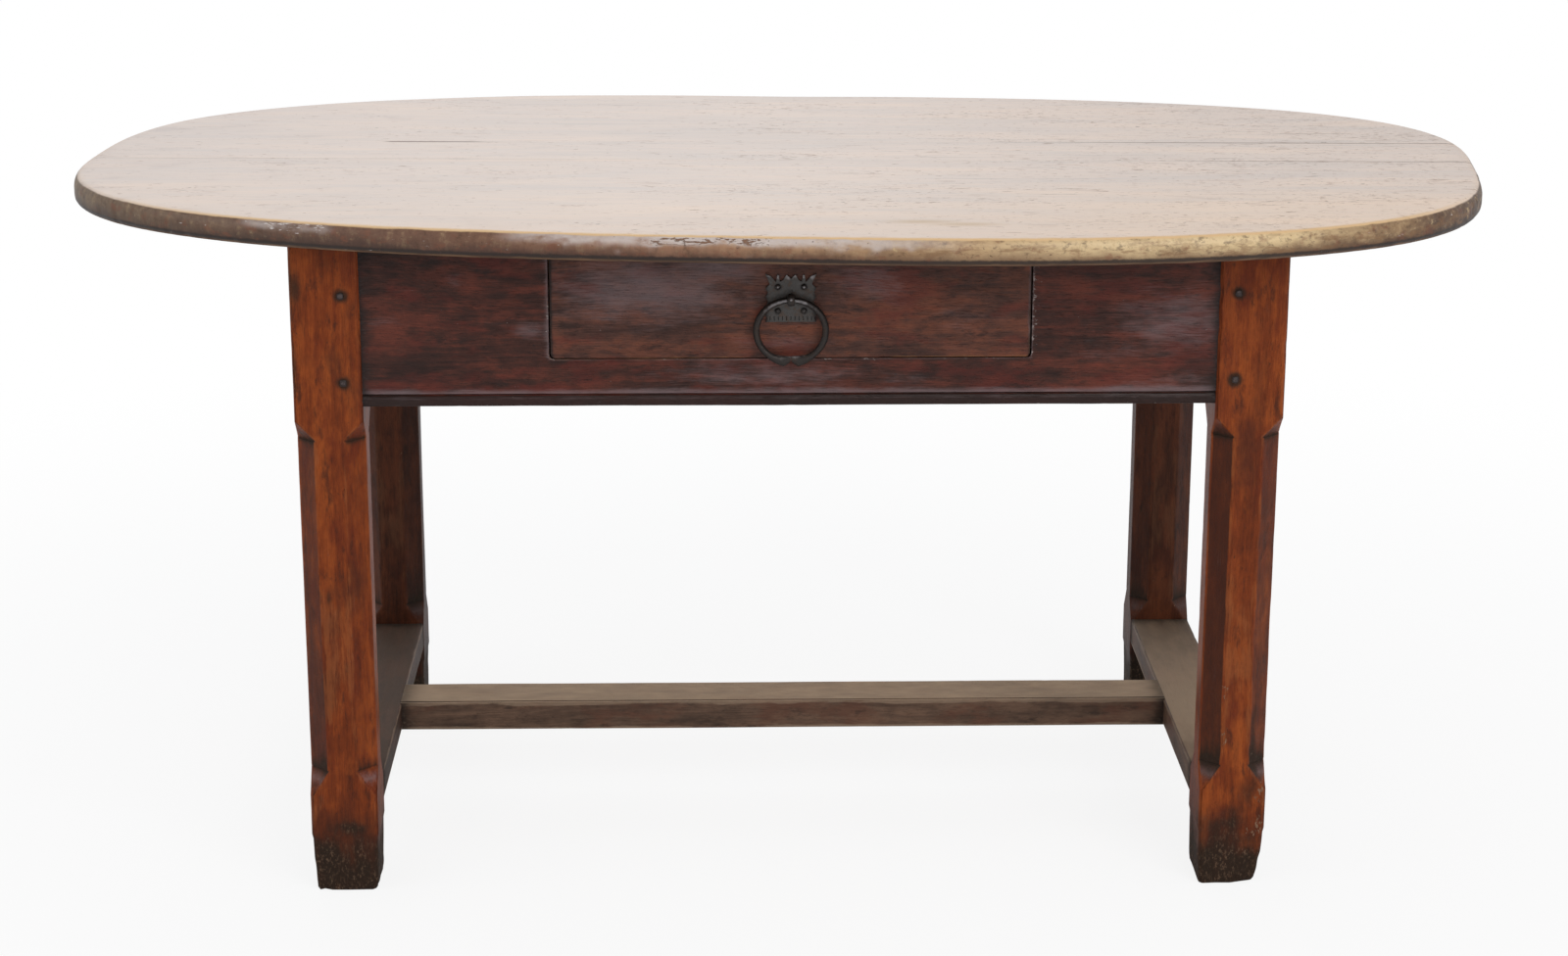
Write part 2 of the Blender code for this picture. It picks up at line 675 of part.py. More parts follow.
def build_runner(side, aprons):
    """An L-shaped runner let into the front and back aprons."""
    turns = SIDES[side][0]
    carrier = frame(f"{side}_runner_line", (0, 0, 0), turns * QUARTER_TURN)
    outer = -OPENING_HALF - GUIDE_WIDTH
    low = RUNNER_TOP - RUNNER_THICKNESS
    outline = [
        (outer, low), (outer + RUNNER_WIDTH, low), (outer + RUNNER_WIDTH, RUNNER_TOP),
        (-OPENING_HALF, RUNNER_TOP), (-OPENING_HALF, RUNNER_TOP + GUIDE_RISE),
        (outer, RUNNER_TOP + GUIDE_RISE),
    ]
    shoulder = -APRON_INSIDE
    runner = prism(f"drawer_runner_{side}", outline, -shoulder + SEAT, shoulder - SEAT, "X",
                   tone=INNER_PINE, parent=carrier)
    middle = outer + RUNNER_WIDTH / 2
    bottom = low + (RUNNER_THICKNESS - RUNNER_TENON_THICKNESS) / 2
    first = "front" if side == "right" else "back"
    for sign in (-1, 1):
        post = aprons[first] if sign < 0 else aprons["back" if first == "front" else "front"]
        tenon_joint(
            f"runner_{side}_{post.name}", runner, post, carrier, sign, shoulder,
            RUNNER_TENON_LENGTH,
            (middle - RUNNER_TENON_WIDTH / 2, middle + RUNNER_TENON_WIDTH / 2),
            (bottom, bottom + RUNNER_TENON_THICKNESS),
        )


# Drawer


def tail_outline(centre, grow):
    """One dovetail in Y and Z, from the shoulder towards the drawer's face."""
    shoulder = DRAWER_SHOULDER
    tip = DRAWER_FACE + TAIL_LAP - grow
    wide = TAIL_HALF_WIDTH + (shoulder - tip) * TAIL_SLOPE_SHARE + grow
    narrow = TAIL_HALF_WIDTH + grow
    return [
        (shoulder, centre - narrow), (tip, centre - wide), (tip, centre + wide),
        (shoulder, centre + narrow),
    ]


def tail_centres():
    """Heights of the tails on a drawer side, lowest first."""
    height = SIDE_TOP - DRAWER_BOTTOM
    return [DRAWER_BOTTOM + share * height for share in TAIL_HEIGHT_SHARES]


def build_drawer_side(name, inner, outer, drawer):
    """A drawer side with its tails at the front and grooves inside."""
    outline = [(DRAWER_END, SIDE_TOP), (DRAWER_END, DRAWER_BOTTOM),
               (DRAWER_SHOULDER + SEAT, DRAWER_BOTTOM)]
    for centre in tail_centres():
        (_, low), *tip, (_, high) = tail_outline(centre, 0)
        outline += [(DRAWER_SHOULDER + SEAT, low), *tip, (DRAWER_SHOULDER + SEAT, high)]
    outline.append((DRAWER_SHOULDER + SEAT, SIDE_TOP))
    side = prism(name, outline, min(inner, outer), max(inner, outer), "X",
                 tone=INNER_PINE, parent=drawer)
    sign = 1 if outer > 0 else -1
    past = inner - sign * OVERRUN
    depth = inner + sign * GROOVE_DEPTH
    plough = block(
        f"{name}_groove",
        (min(past, depth), DRAWER_FACE, BOTTOM_UNDERSIDE - SEAT),
        (max(past, depth), DRAWER_END + OVERRUN, BOTTOM_TOP + SEAT),
        parent=drawer,
    )
    combine(side, plough)
    housing = block(
        f"{name}_housing",
        (min(past, depth), BACK_FACE - SEAT, BOTTOM_TOP),
        (max(past, depth), BACK_FACE + BACK_THICKNESS + SEAT, SIDE_TOP + OVERRUN),
        parent=drawer,
    )
    combine(side, housing)
    return side


def build_drawer_front(drawer):
    """The drawer front, with worn lower corners, tail sockets and a groove."""
    half = DRAWER_WIDTH / 2
    radius = DRAWER_CORNER_RADIUS
    outline = (
        [(half, DRAWER_TOP), (-half, DRAWER_TOP)]
        + arc((-half + radius, DRAWER_BOTTOM + radius), radius, 180, 270, 4)
        + arc((half - radius, DRAWER_BOTTOM + radius), radius, 270, 360, 4)
    )
    front = prism("drawer_front", outline, DRAWER_FACE, DRAWER_SHOULDER, "Y",
                  tone=DARK_WALNUT, parent=drawer)
    for side, sign in (("left", -1), ("right", 1)):
        deep = sign * (SIDE_INSIDE - SEAT)
        open_end = sign * (half + OVERRUN)
        for number, centre in enumerate(tail_centres()):
            (_, low), *tip, (_, high) = tail_outline(centre, SEAT)
            behind = DRAWER_SHOULDER + OVERRUN
            socket = [(behind, low), (DRAWER_SHOULDER, low), *tip, (DRAWER_SHOULDER, high),
                      (behind, high)]
            tool = prism(f"socket_{side}_{number}", socket, min(deep, open_end),
                         max(deep, open_end), "X", parent=drawer)
            combine(front, tool)
    reach = SIDE_INSIDE + GROOVE_DEPTH
    plough = block(
        "drawer_front_groove",
        (-reach, DRAWER_SHOULDER - GROOVE_DEPTH, BOTTOM_UNDERSIDE - SEAT),
        (reach, DRAWER_SHOULDER + OVERRUN, BOTTOM_TOP + SEAT),
        parent=drawer,
    )
    combine(front, plough)
    return front


def build_drawer():
    """Front, sides, back and bottom, joined with tails, housings and grooves."""
    drawer = frame("drawer_frame")
    front = build_drawer_front(drawer)
    half = DRAWER_WIDTH / 2
    build_drawer_side("drawer_side_left", -SIDE_INSIDE, -half, drawer)
    build_drawer_side("drawer_side_right", SIDE_INSIDE, half, drawer)
    reach = SIDE_INSIDE + GROOVE_DEPTH - SEAT
    block(
        "drawer_bottom",
        (-reach, DRAWER_SHOULDER - GROOVE_DEPTH + SEAT, BOTTOM_UNDERSIDE),
        (reach, DRAWER_END, BOTTOM_TOP),
        tone=INNER_PINE, parent=drawer,
    )
    block(
        "drawer_back",
        (-reach, BACK_FACE, BOTTOM_TOP + SEAT),
        (reach, BACK_FACE + BACK_THICKNESS, SIDE_TOP - BACK_DROP),
        tone=INNER_PINE, parent=drawer,
    )
    return drawer, front


# Iron pull


def plate_outline():
    """The cut outline of the back plate: toothed sides, leaves, prongs and peaks on top."""
    half = PLATE_WIDTH / 2
    low = DRAWER_BOTTOM + PLATE_RISE
    right = [(x * half, low + z * PLATE_HEIGHT) for x, z in PLATE_OUTLINE_SHARES]
    dip = [(0, low + PLATE_CENTRE_DIP_SHARE * PLATE_HEIGHT)]
    left = [(-x, z) for x, z in reversed(right)]
    return right + dip + left


def cut_chisel_row(plate, drawer):
    """Strike a row of short V cuts along the plate's lower edge."""
    low = DRAWER_BOTTOM + PLATE_RISE + CHISEL_RISE
    half = CHISEL_WIDTH / 2
    for number in range(CHISEL_CUTS):
        across = CHISEL_ROW_WIDTH * (number / (CHISEL_CUTS - 1) - 1 / 2)
        outline = [
            (across - half, PLATE_FACE - SEAT), (across, PLATE_FACE + CHISEL_DEPTH),
            (across + half, PLATE_FACE - SEAT),
        ]
        combine(plate, prism(f"chisel_{number}", outline, low, low + CHISEL_LENGTH, "Z",
                             parent=drawer))


def build_nail(name, place, drawer, holed):
    """A forged nail with a low domed head, along -Y, and its hole in each piece."""
    bm = bmesh.new()
    head = arc((0, 0), NAIL_HEAD_RADIUS, 90, 0, 3)
    squash = NAIL_HEAD_HEIGHT / NAIL_HEAD_RADIUS
    profile = [(x, z * squash) for x, z in head]
    profile += [(NAIL_SHANK_RADIUS, 0), (NAIL_SHANK_RADIUS, -NAIL_LENGTH + NAIL_SHANK_RADIUS),
                (0, -NAIL_LENGTH)]
    points = [bm.verts.new((x, 0, z)) for x, z in profile]
    edges = [bm.edges.new(pair) for pair in zip(points, points[1:])]
    bmesh.ops.spin(bm, geom=points + edges, cent=(0, 0, 0), axis=(0, 0, 1),
                   angle=math.tau, steps=8, use_merge=True)
    bmesh.ops.remove_doubles(bm, verts=bm.verts, dist=NAIL_SHANK_RADIUS / 10)
    nail = add(name, mesh_from(bm, name), place, tone=WROUGHT_IRON, parent=drawer,
               turn=(QUARTER_TURN, 0, 0))
    half = NAIL_SHANK_RADIUS + NAIL_HOLE_CLEARANCE
    x, y, z = place
    hole = block(f"{name}_hole", (x - half, y - OVERRUN, z - half),
                 (x + half, y + NAIL_LENGTH + NAIL_HOLE_CLEARANCE, z + half), parent=drawer)
    for target in holed:
        combine(target, hole)
    return nail


def build_eye(drawer, holed):
    """The cotter: a strap bent into an eye, its two legs clenched inside the drawer."""
    half = EYE_WIDTH / 2
    stem = EYE_STRAP + EYE_SPLIT / 2
    inside = DRAWER_SHOULDER + SEAT
    spread = math.degrees(math.asin(stem / EYE_RADIUS))
    outline = arc((PULL_Y, PULL_Z), EYE_RADIUS, spread, 360 - spread, 18)
    outline += [
        (inside, PULL_Z - stem), (inside, PULL_Z - EYE_CLENCH),
        (inside + EYE_STRAP, PULL_Z - EYE_CLENCH), (inside + EYE_STRAP, PULL_Z + EYE_CLENCH),
        (inside, PULL_Z + EYE_CLENCH), (inside, PULL_Z + stem),
    ]
    eye = prism("pull_eye", outline, -half, half, "X", tone=WROUGHT_IRON, parent=drawer)
    bore = prism("eye_bore", arc((PULL_Y, PULL_Z), EYE_BORE, 0, 340, 17), -half - OVERRUN,
                 half + OVERRUN, "X", parent=drawer)
    combine(eye, bore)
    split = block(
        "eye_split",
        (-half - OVERRUN, PULL_Y, PULL_Z - EYE_SPLIT / 2),
        (half + OVERRUN, inside + EYE_STRAP + OVERRUN, PULL_Z + EYE_SPLIT / 2),
        parent=drawer,
    )
    combine(eye, split)
    slot = block(
        "eye_slot",
        (-half - SEAT, PLATE_FACE - OVERRUN, PULL_Z - stem - SEAT),
        (half + SEAT, inside + OVERRUN, PULL_Z + stem + SEAT),
        parent=drawer,
    )
    for target in holed:
        combine(target, slot)


def ring_section(share):
    """Centre, radial direction and half sizes of the ring at a share of its round."""
    gap = math.asin(RING_END_GAP / RING_WIDTH)
    turn = gap + (math.tau - 2 * gap) * share
    to_end = min(share, 1 - share)
    bar = RING_BAR_RADIUS + (RING_SIDE_RADIUS - RING_BAR_RADIUS) * abs(math.sin(turn))
    flare = max(0, 1 - to_end / RING_PADDLE_SHARE)
    flare = flare * flare * (3 - 2 * flare)
    point = max(0, 1 - to_end / RING_POINT_SHARE)
    wide = bar + (RING_PADDLE_HALF_WIDTH - bar) * flare
    thin = bar + (RING_PADDLE_HALF_THICKNESS - bar) * flare
    reach_x = RING_WIDTH / 2 - RING_SIDE_RADIUS
    reach_z = (RING_HEIGHT - RING_BAR_RADIUS - RING_PADDLE_HALF_WIDTH) / 2
    middle_z = -reach_z
    outward = Vector((math.sin(turn), 0, -math.cos(turn)))
    centre = Vector((reach_x * math.sin(turn), 0, middle_z - reach_z * math.cos(turn)))
    centre -= outward * RING_PADDLE_HALF_WIDTH * point / 2
    wide *= 1 - point / 2
    return centre, outward, wide, thin


def build_ring(pull):
    """The ring, one bar bent round so that its two flattened ends meet at the bottom."""
    rings = []
    for station in range(RING_STATIONS + 1):
        centre, outward, wide, thin = ring_section(station / RING_STATIONS)
        ring = []
        for corner in range(RING_SIDES):
            angle = math.tau * corner / RING_SIDES
            ring.append(centre + outward * wide * math.cos(angle)
                        + Vector((0, thin * math.sin(angle), 0)))
        rings.append(ring)
    bm = bmesh.new()
    loft(bm, rings)
    add("pull_ring", mesh_from(bm, "pull_ring"), (0, 0, 0), tone=WROUGHT_IRON, parent=pull)


def build_pull(drawer, front):
    """Plate, four nails and eye on the drawer front, and the ring on its own axis."""
    plate = prism("pull_plate", plate_outline(), PLATE_FACE, DRAWER_FACE - SEAT, "Y",
                  tone=WROUGHT_IRON, parent=drawer)
    cut_chisel_row(plate, drawer)
    low = DRAWER_BOTTOM + PLATE_RISE
    for level, rise in zip(("lower", "upper"), NAIL_RISES):
        for side, sign in (("left", -1), ("right", 1)):
            place = (sign * NAIL_SPREAD / 2, PLATE_FACE - SEAT, low + rise)
            build_nail(f"plate_nail_{side}_{level}", place, drawer, (plate, front))
    build_eye(drawer, (plate, front))
    pull = frame("ring_frame", (0, PULL_Y, PULL_Z))
    pull.parent = drawer
    build_ring(pull)


def main():
    """Build the whole table."""
    clear_scene()
    build_top()
    legs = build_legs()
    aprons = build_frame(legs)
    stretchers = {side: build_side_stretcher(side, legs) for side in ("left", "right")}
    build_middle_stretcher(stretchers)
    for side in ("left", "right"):
        build_runner(side, aprons)
    drawer, front = build_drawer()
    build_pull(drawer, front)


if __name__ == "__main__":
    main()
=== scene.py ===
"""Looks of a worn oval centre table: scrubbed top, waxed walnut frame, wrought-iron pull.

Everything is in metres in the part's own frame: X runs along the table, Y from the drawer
to the back, and Z up from the floor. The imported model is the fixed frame. Worn pieces stand
for the plain solids that show, and what lies inside keeps its solid and gets a finish.
"""

from __future__ import annotations

import json
import logging
import math
from dataclasses import dataclass, field, replace
from enum import Enum

import bmesh
import bpy
import numpy as np
from mathutils import Matrix, Vector

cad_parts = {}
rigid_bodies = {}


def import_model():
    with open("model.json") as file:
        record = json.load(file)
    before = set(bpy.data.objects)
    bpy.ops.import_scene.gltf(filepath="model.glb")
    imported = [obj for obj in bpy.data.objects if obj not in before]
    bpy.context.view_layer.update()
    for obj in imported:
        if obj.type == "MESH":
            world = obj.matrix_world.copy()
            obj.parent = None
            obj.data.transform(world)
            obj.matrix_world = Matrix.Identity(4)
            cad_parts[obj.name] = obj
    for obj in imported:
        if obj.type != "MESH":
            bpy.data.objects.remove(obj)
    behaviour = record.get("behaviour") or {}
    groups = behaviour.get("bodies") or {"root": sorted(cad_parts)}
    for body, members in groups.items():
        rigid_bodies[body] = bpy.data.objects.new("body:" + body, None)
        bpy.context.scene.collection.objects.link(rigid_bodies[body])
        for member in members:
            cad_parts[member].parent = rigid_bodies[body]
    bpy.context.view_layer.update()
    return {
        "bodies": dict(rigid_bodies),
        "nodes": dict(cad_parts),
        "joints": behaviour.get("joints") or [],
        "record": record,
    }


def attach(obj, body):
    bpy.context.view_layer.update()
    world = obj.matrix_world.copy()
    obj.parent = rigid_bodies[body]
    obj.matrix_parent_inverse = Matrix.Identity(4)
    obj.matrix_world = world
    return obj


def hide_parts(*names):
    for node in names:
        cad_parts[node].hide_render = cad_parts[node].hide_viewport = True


log = logging.getLogger("oval_table")

Tint = tuple[float, float, float]
Place = tuple[float, float, float]
Array = np.ndarray
Material = bpy.types.Material
Piece = bpy.types.Object
Socket = bpy.types.NodeSocket

# Sizes that more than one sub-assembly shares, as the part has them
TABLE_HEIGHT = 0.765
TOP_THICKNESS = 0.029
UNDERSIDE = TABLE_HEIGHT - TOP_THICKNESS
HAIR = 0.0003  # gaps and easings too small to see
FRAME_TOP = UNDERSIDE - HAIR
BASE_LENGTH = 1.058
BASE_DEPTH = 0.660
LEG_WIDTH = 0.074
LEG_X = (BASE_LENGTH - LEG_WIDTH) / 2
LEG_Y = (BASE_DEPTH - LEG_WIDTH) / 2
INSIDE_LENGTH = BASE_LENGTH - 2 * LEG_WIDTH
INSIDE_DEPTH = BASE_DEPTH - 2 * LEG_WIDTH
APRON_BOTTOM = UNDERSIDE - 0.1805
APRON_FACE = BASE_DEPTH / 2 - 0.003
STRETCHER_BOTTOM = 0.083
MIDDLE_OFFSET = -0.008
TOP_TURN = math.radians(-1.8)
FRONT_JOINT = -0.012
BACK_JOINT = 0.110


def tint(red: float, green: float, blue: float) -> Tint:
    """Turn a colour as it looks on a screen, 0 to 255, into a scene-linear one.

    Args:
        red: Red.
        green: Green.
        blue: Blue.

    Returns:
        The scene-linear colour.
    """
    def linear(value: float) -> float:
        """Undo the screen's curve for one channel."""
        share = value / 255
        return share / 12.92 if share <= 0.04045 else ((share + 0.055) / 1.055) ** 2.4

    return linear(red), linear(green), linear(blue)


# Shader building


class Signal:
    """A number that varies over a surface, used in plain Python expressions."""

    def __init__(self, paint: Paint, socket: Socket) -> None:
        """Keep the socket that carries the number, and the tree that it is in."""
        self.paint = paint
        self.socket = socket

    def __add__(self, other: Signal | float) -> Signal:
        """Sum."""
        return self.paint.math("ADD", self, other)

    def __radd__(self, other: float) -> Signal:
        """Sum with a plain number on the left."""
        return self.paint.math("ADD", other, self)

    def __sub__(self, other: Signal | float) -> Signal:
        """Difference."""
        return self.paint.math("SUBTRACT", self, other)

    def __rsub__(self, other: float) -> Signal:
        """Difference with a plain number on the left."""
        return self.paint.math("SUBTRACT", other, self)

    def __mul__(self, other: Signal | float) -> Signal:
        """Product."""
        return self.paint.math("MULTIPLY", self, other)

    def __rmul__(self, other: float) -> Signal:
        """Product with a plain number on the left."""
        return self.paint.math("MULTIPLY", other, self)

    def __truediv__(self, other: Signal | float) -> Signal:
        """Quotient."""
        return self.paint.math("DIVIDE", self, other)

    def __pow__(self, other: float) -> Signal:
        """Power."""
        return self.paint.math("POWER", self, other)

    def __abs__(self) -> Signal:
        """Size without its sign."""
        return self.paint.math("ABSOLUTE", self)

    def most(self, other: Signal | float) -> Signal:
        """The larger of the two."""
        return self.paint.math("MAXIMUM", self, other)

    def least(self, other: Signal | float) -> Signal:
        """The smaller of the two."""
        return self.paint.math("MINIMUM", self, other)

    def over(self, other: Signal | float) -> Signal:
        """1 where the number is above the other, and 0 elsewhere."""
        return self.paint.math("GREATER_THAN", self, other)

    def rise(self, low: float, high: float) -> Signal:
        """Go smoothly from 0 at the low value to 1 at the high one.

        Args:
            low: The low value.
            high: The high value.

        Returns:
            The share of the way.
        """
        ends = {"Value": self, "From Min": low, "From Max": high}
        made = self.paint.node("ShaderNodeMapRange", {"interpolation_type": "SMOOTHSTEP"}, ends)
        return Signal(self.paint, made.outputs["Result"])

    def fall(self, low: float, high: float) -> Signal:
        """Go smoothly from 1 at the low value to 0 at the high one."""
        return 1 - self.rise(low, high)


class Coat:
    """A colour that varies over a surface, and that others are laid over one by one."""

    def __init__(self, paint: Paint, socket: Socket) -> None:
        """Keep the socket that carries the colour, and the tree that it is in."""
        self.paint = paint
        self.socket = socket

    def cover(self, share: Signal | float, colour: object) -> None:
        """Lay another colour over this one, as much of it as the share says."""
        self.socket = self.paint.blend(share, self, colour).socket


class Grain(Enum):
    """Where a finish reads the place of a point in its plank."""

    MARKED = "lay"
    ALONG_X = "XYZ"
    ALONG_Y = "YXZ"


class Paint:
    """The node tree of a material, or of the world."""

    def __init__(self, name: str, world: bool = False) -> None:
        """Start an empty tree.

        Args:
            name: Name of the material or the world.
            world: Whether it is a world.
        """
        kind = bpy.data.worlds if world else bpy.data.materials
        self.owner = kind.new(name)
        self.owner.use_nodes = True
        self.tree = self.owner.node_tree
        self.tree.nodes.clear()

    def node(
        self, kind: str, settings: dict[str, object], inputs: dict[str | int, object]
    ) -> bpy.types.Node:
        """Add one node.

        Args:
            kind: Type of the node.
            settings: What is set on the node itself, before its sockets.
            inputs: Value or link of each socket, by name or number.

        Returns:
            The node.
        """
        made = self.tree.nodes.new(kind)
        for key, value in settings.items():
            if key == "stops":
                self._set_stops(made.color_ramp, value)
            else:
                setattr(made, key, value)
        for key, value in inputs.items():
            socket = made.inputs[key]
            value = value.socket if isinstance(value, (Signal, Coat)) else value
            if isinstance(value, Socket):
                self.tree.links.new(value, socket)
            elif socket.type == "RGBA" and len(value) == 3:
                socket.default_value = (*value, 1.0)
            else:
                socket.default_value = value
        return made

    @staticmethod
    def _set_stops(ramp: bpy.types.ColorRamp, stops: list[tuple[float, Tint]]) -> None:
        """Put colours along a ramp.

        Args:
            ramp: The ramp.
            stops: Place and colour of each.
        """
        while len(ramp.elements) < len(stops):
            ramp.elements.new(1.0)
        for element, (place, colour) in zip(ramp.elements, stops):
            element.position = place
            element.color = (*colour, 1.0)

    def math(self, operation: str, *values: Signal | float) -> Signal:
        """Work out numbers."""
        made = self.node("ShaderNodeMath", {"operation": operation}, dict(enumerate(values)))
        return Signal(self, made.outputs[0])

    def vector(self, operation: str, *values: object) -> Socket:
        """Work out vectors."""
        made = self.node("ShaderNodeVectorMath", {"operation": operation}, dict(enumerate(values)))
        return made.outputs["Vector"]

    def blend(self, share: Signal | float, under: object, over: object) -> Coat:
        """Lay one colour over another.

        Args:
            share: How much of the upper colour shows.
            under: Lower colour.
            over: Upper colour.

        Returns:
            The mixed colour.
        """
        settings = {"data_type": "RGBA", "clamp_factor": True}
        made = self.node("ShaderNodeMix", settings, {0: share, 6: under, 7: over})
        return Coat(self, made.outputs[2])

    def ramp(self, value: Signal, *stops: tuple[float, Tint]) -> Coat:
        """Turn a number into a colour between stops."""
        made = self.node("ShaderNodeValToRGB", {"stops": list(stops)}, {0: value})
        return Coat(self, made.outputs["Color"])

    def mark(self, name: str) -> Signal:
        """Read a number that a mesh carries for each of its points."""
        made = self.node("ShaderNodeAttribute", {"attribute_name": name}, {})
        return Signal(self, made.outputs["Fac"])

    def split(self, vector: Socket) -> tuple[Signal, ...]:
        """Take a vector apart."""
        made = self.node("ShaderNodeSeparateXYZ", {}, {0: vector})
        return tuple(Signal(self, part) for part in made.outputs)

    def join(self, *parts: Signal | float) -> Socket:
        """Put three numbers together as a vector."""
        return self.node("ShaderNodeCombineXYZ", {}, dict(enumerate(parts))).outputs[0]

    def place(self) -> Socket:
        """Place of a point in the piece's own frame, which is the part's frame at rest."""
        return self.node("ShaderNodeTexCoord", {}, {}).outputs["Object"]

    def seen(self, ray: str) -> Signal:
        """1 for rays of one kind, and 0 for others."""
        return Signal(self, self.node("ShaderNodeLightPath", {}, {}).outputs[f"Is {ray} Ray"])

    def facing(self) -> tuple[Signal, ...]:
        """Direction that the surface faces."""
        return self.split(self.node("ShaderNodeNewGeometry", {}, {}).outputs["Normal"])

    def lay(self, grain: Grain) -> Socket:
        """Place of a point in its plank: along the grain, across it and through it.

        Args:
            grain: Where that place is read.

        Returns:
            The place.
        """
        if grain is Grain.MARKED:
            made = self.node("ShaderNodeAttribute", {"attribute_name": "lay"}, {})
            return made.outputs["Vector"]
        parts = dict(zip("XYZ", self.split(self.place())))
        return self.join(*(parts[letter] for letter in grain.value))

    def noise(
        self,
        where: Socket,
        size: Place,
        detail: float = 2.0,
        rough: float = 0.5,
        shift: float = 0.0,
    ) -> Signal:
        """Cloudy noise from about 0.2 to 0.8.

        Args:
            where: Place that the noise is read at.
            size: Width of its cells along, across and through the grain, in metres.
            detail: How many finer layers are added.
            rough: Strength of the finer layers.
            shift: Moves the noise, so that two of one size differ.

        Returns:
            The noise.
        """
        inverse = tuple(1 / one for one in size)
        scaled = self.vector("MULTIPLY", where, inverse)
        moved = self.vector("ADD", scaled, (shift, shift * 1.7, shift * 0.6))
        inputs = {"Vector": moved, "Scale": 1.0, "Detail": detail, "Roughness": rough}
        made = self.node("ShaderNodeTexNoise", {"noise_dimensions": "3D"}, inputs)
        return Signal(self, made.outputs[0])

    def spot(self, where: Socket, centre: Place, size: Place) -> Signal:
        """A soft spot, 1 at its centre and 0 outside its half sizes.

        Args:
            where: Place that the spot is read at.
            centre: Its centre.
            size: Its half sizes.

        Returns:
            The spot.
        """
        away = self.vector("SUBTRACT", where, centre)
        scaled = self.vector("MULTIPLY", away, tuple(1 / one for one in size))
        made = self.node("ShaderNodeVectorMath", {"operation": "LENGTH"}, {0: scaled})
        return Signal(self, made.outputs["Value"]).fall(0.0, 1.0)

    def finish(
        self,
        colour: object,
        roughness: Signal | float,
        height: Signal,
        depth: float,
        constants: dict[str, float],
    ) -> Material:
        """Close the tree with its shader.

        Args:
            colour: Colour of the surface.
            roughness: How matt it is.
            height: Relief, from 0 to 1.
            depth: What a height of 1 stands for, in metres.
            constants: Other sockets of the shader that are the same all over.

        Returns:
            The material.
        """
        relief = {"Height": height, "Distance": depth, "Strength": 1.0}
        bump = self.node("ShaderNodeBump", {}, relief)
        inputs = {"Base Color": colour, "Roughness": roughness, "Normal": bump.outputs[0]}
        shader = self.node("ShaderNodeBsdfPrincipled", {}, {**inputs, **constants})
        self.node("ShaderNodeOutputMaterial", {}, {"Surface": shader.outputs[0]})
        return self.owner


# Finishes


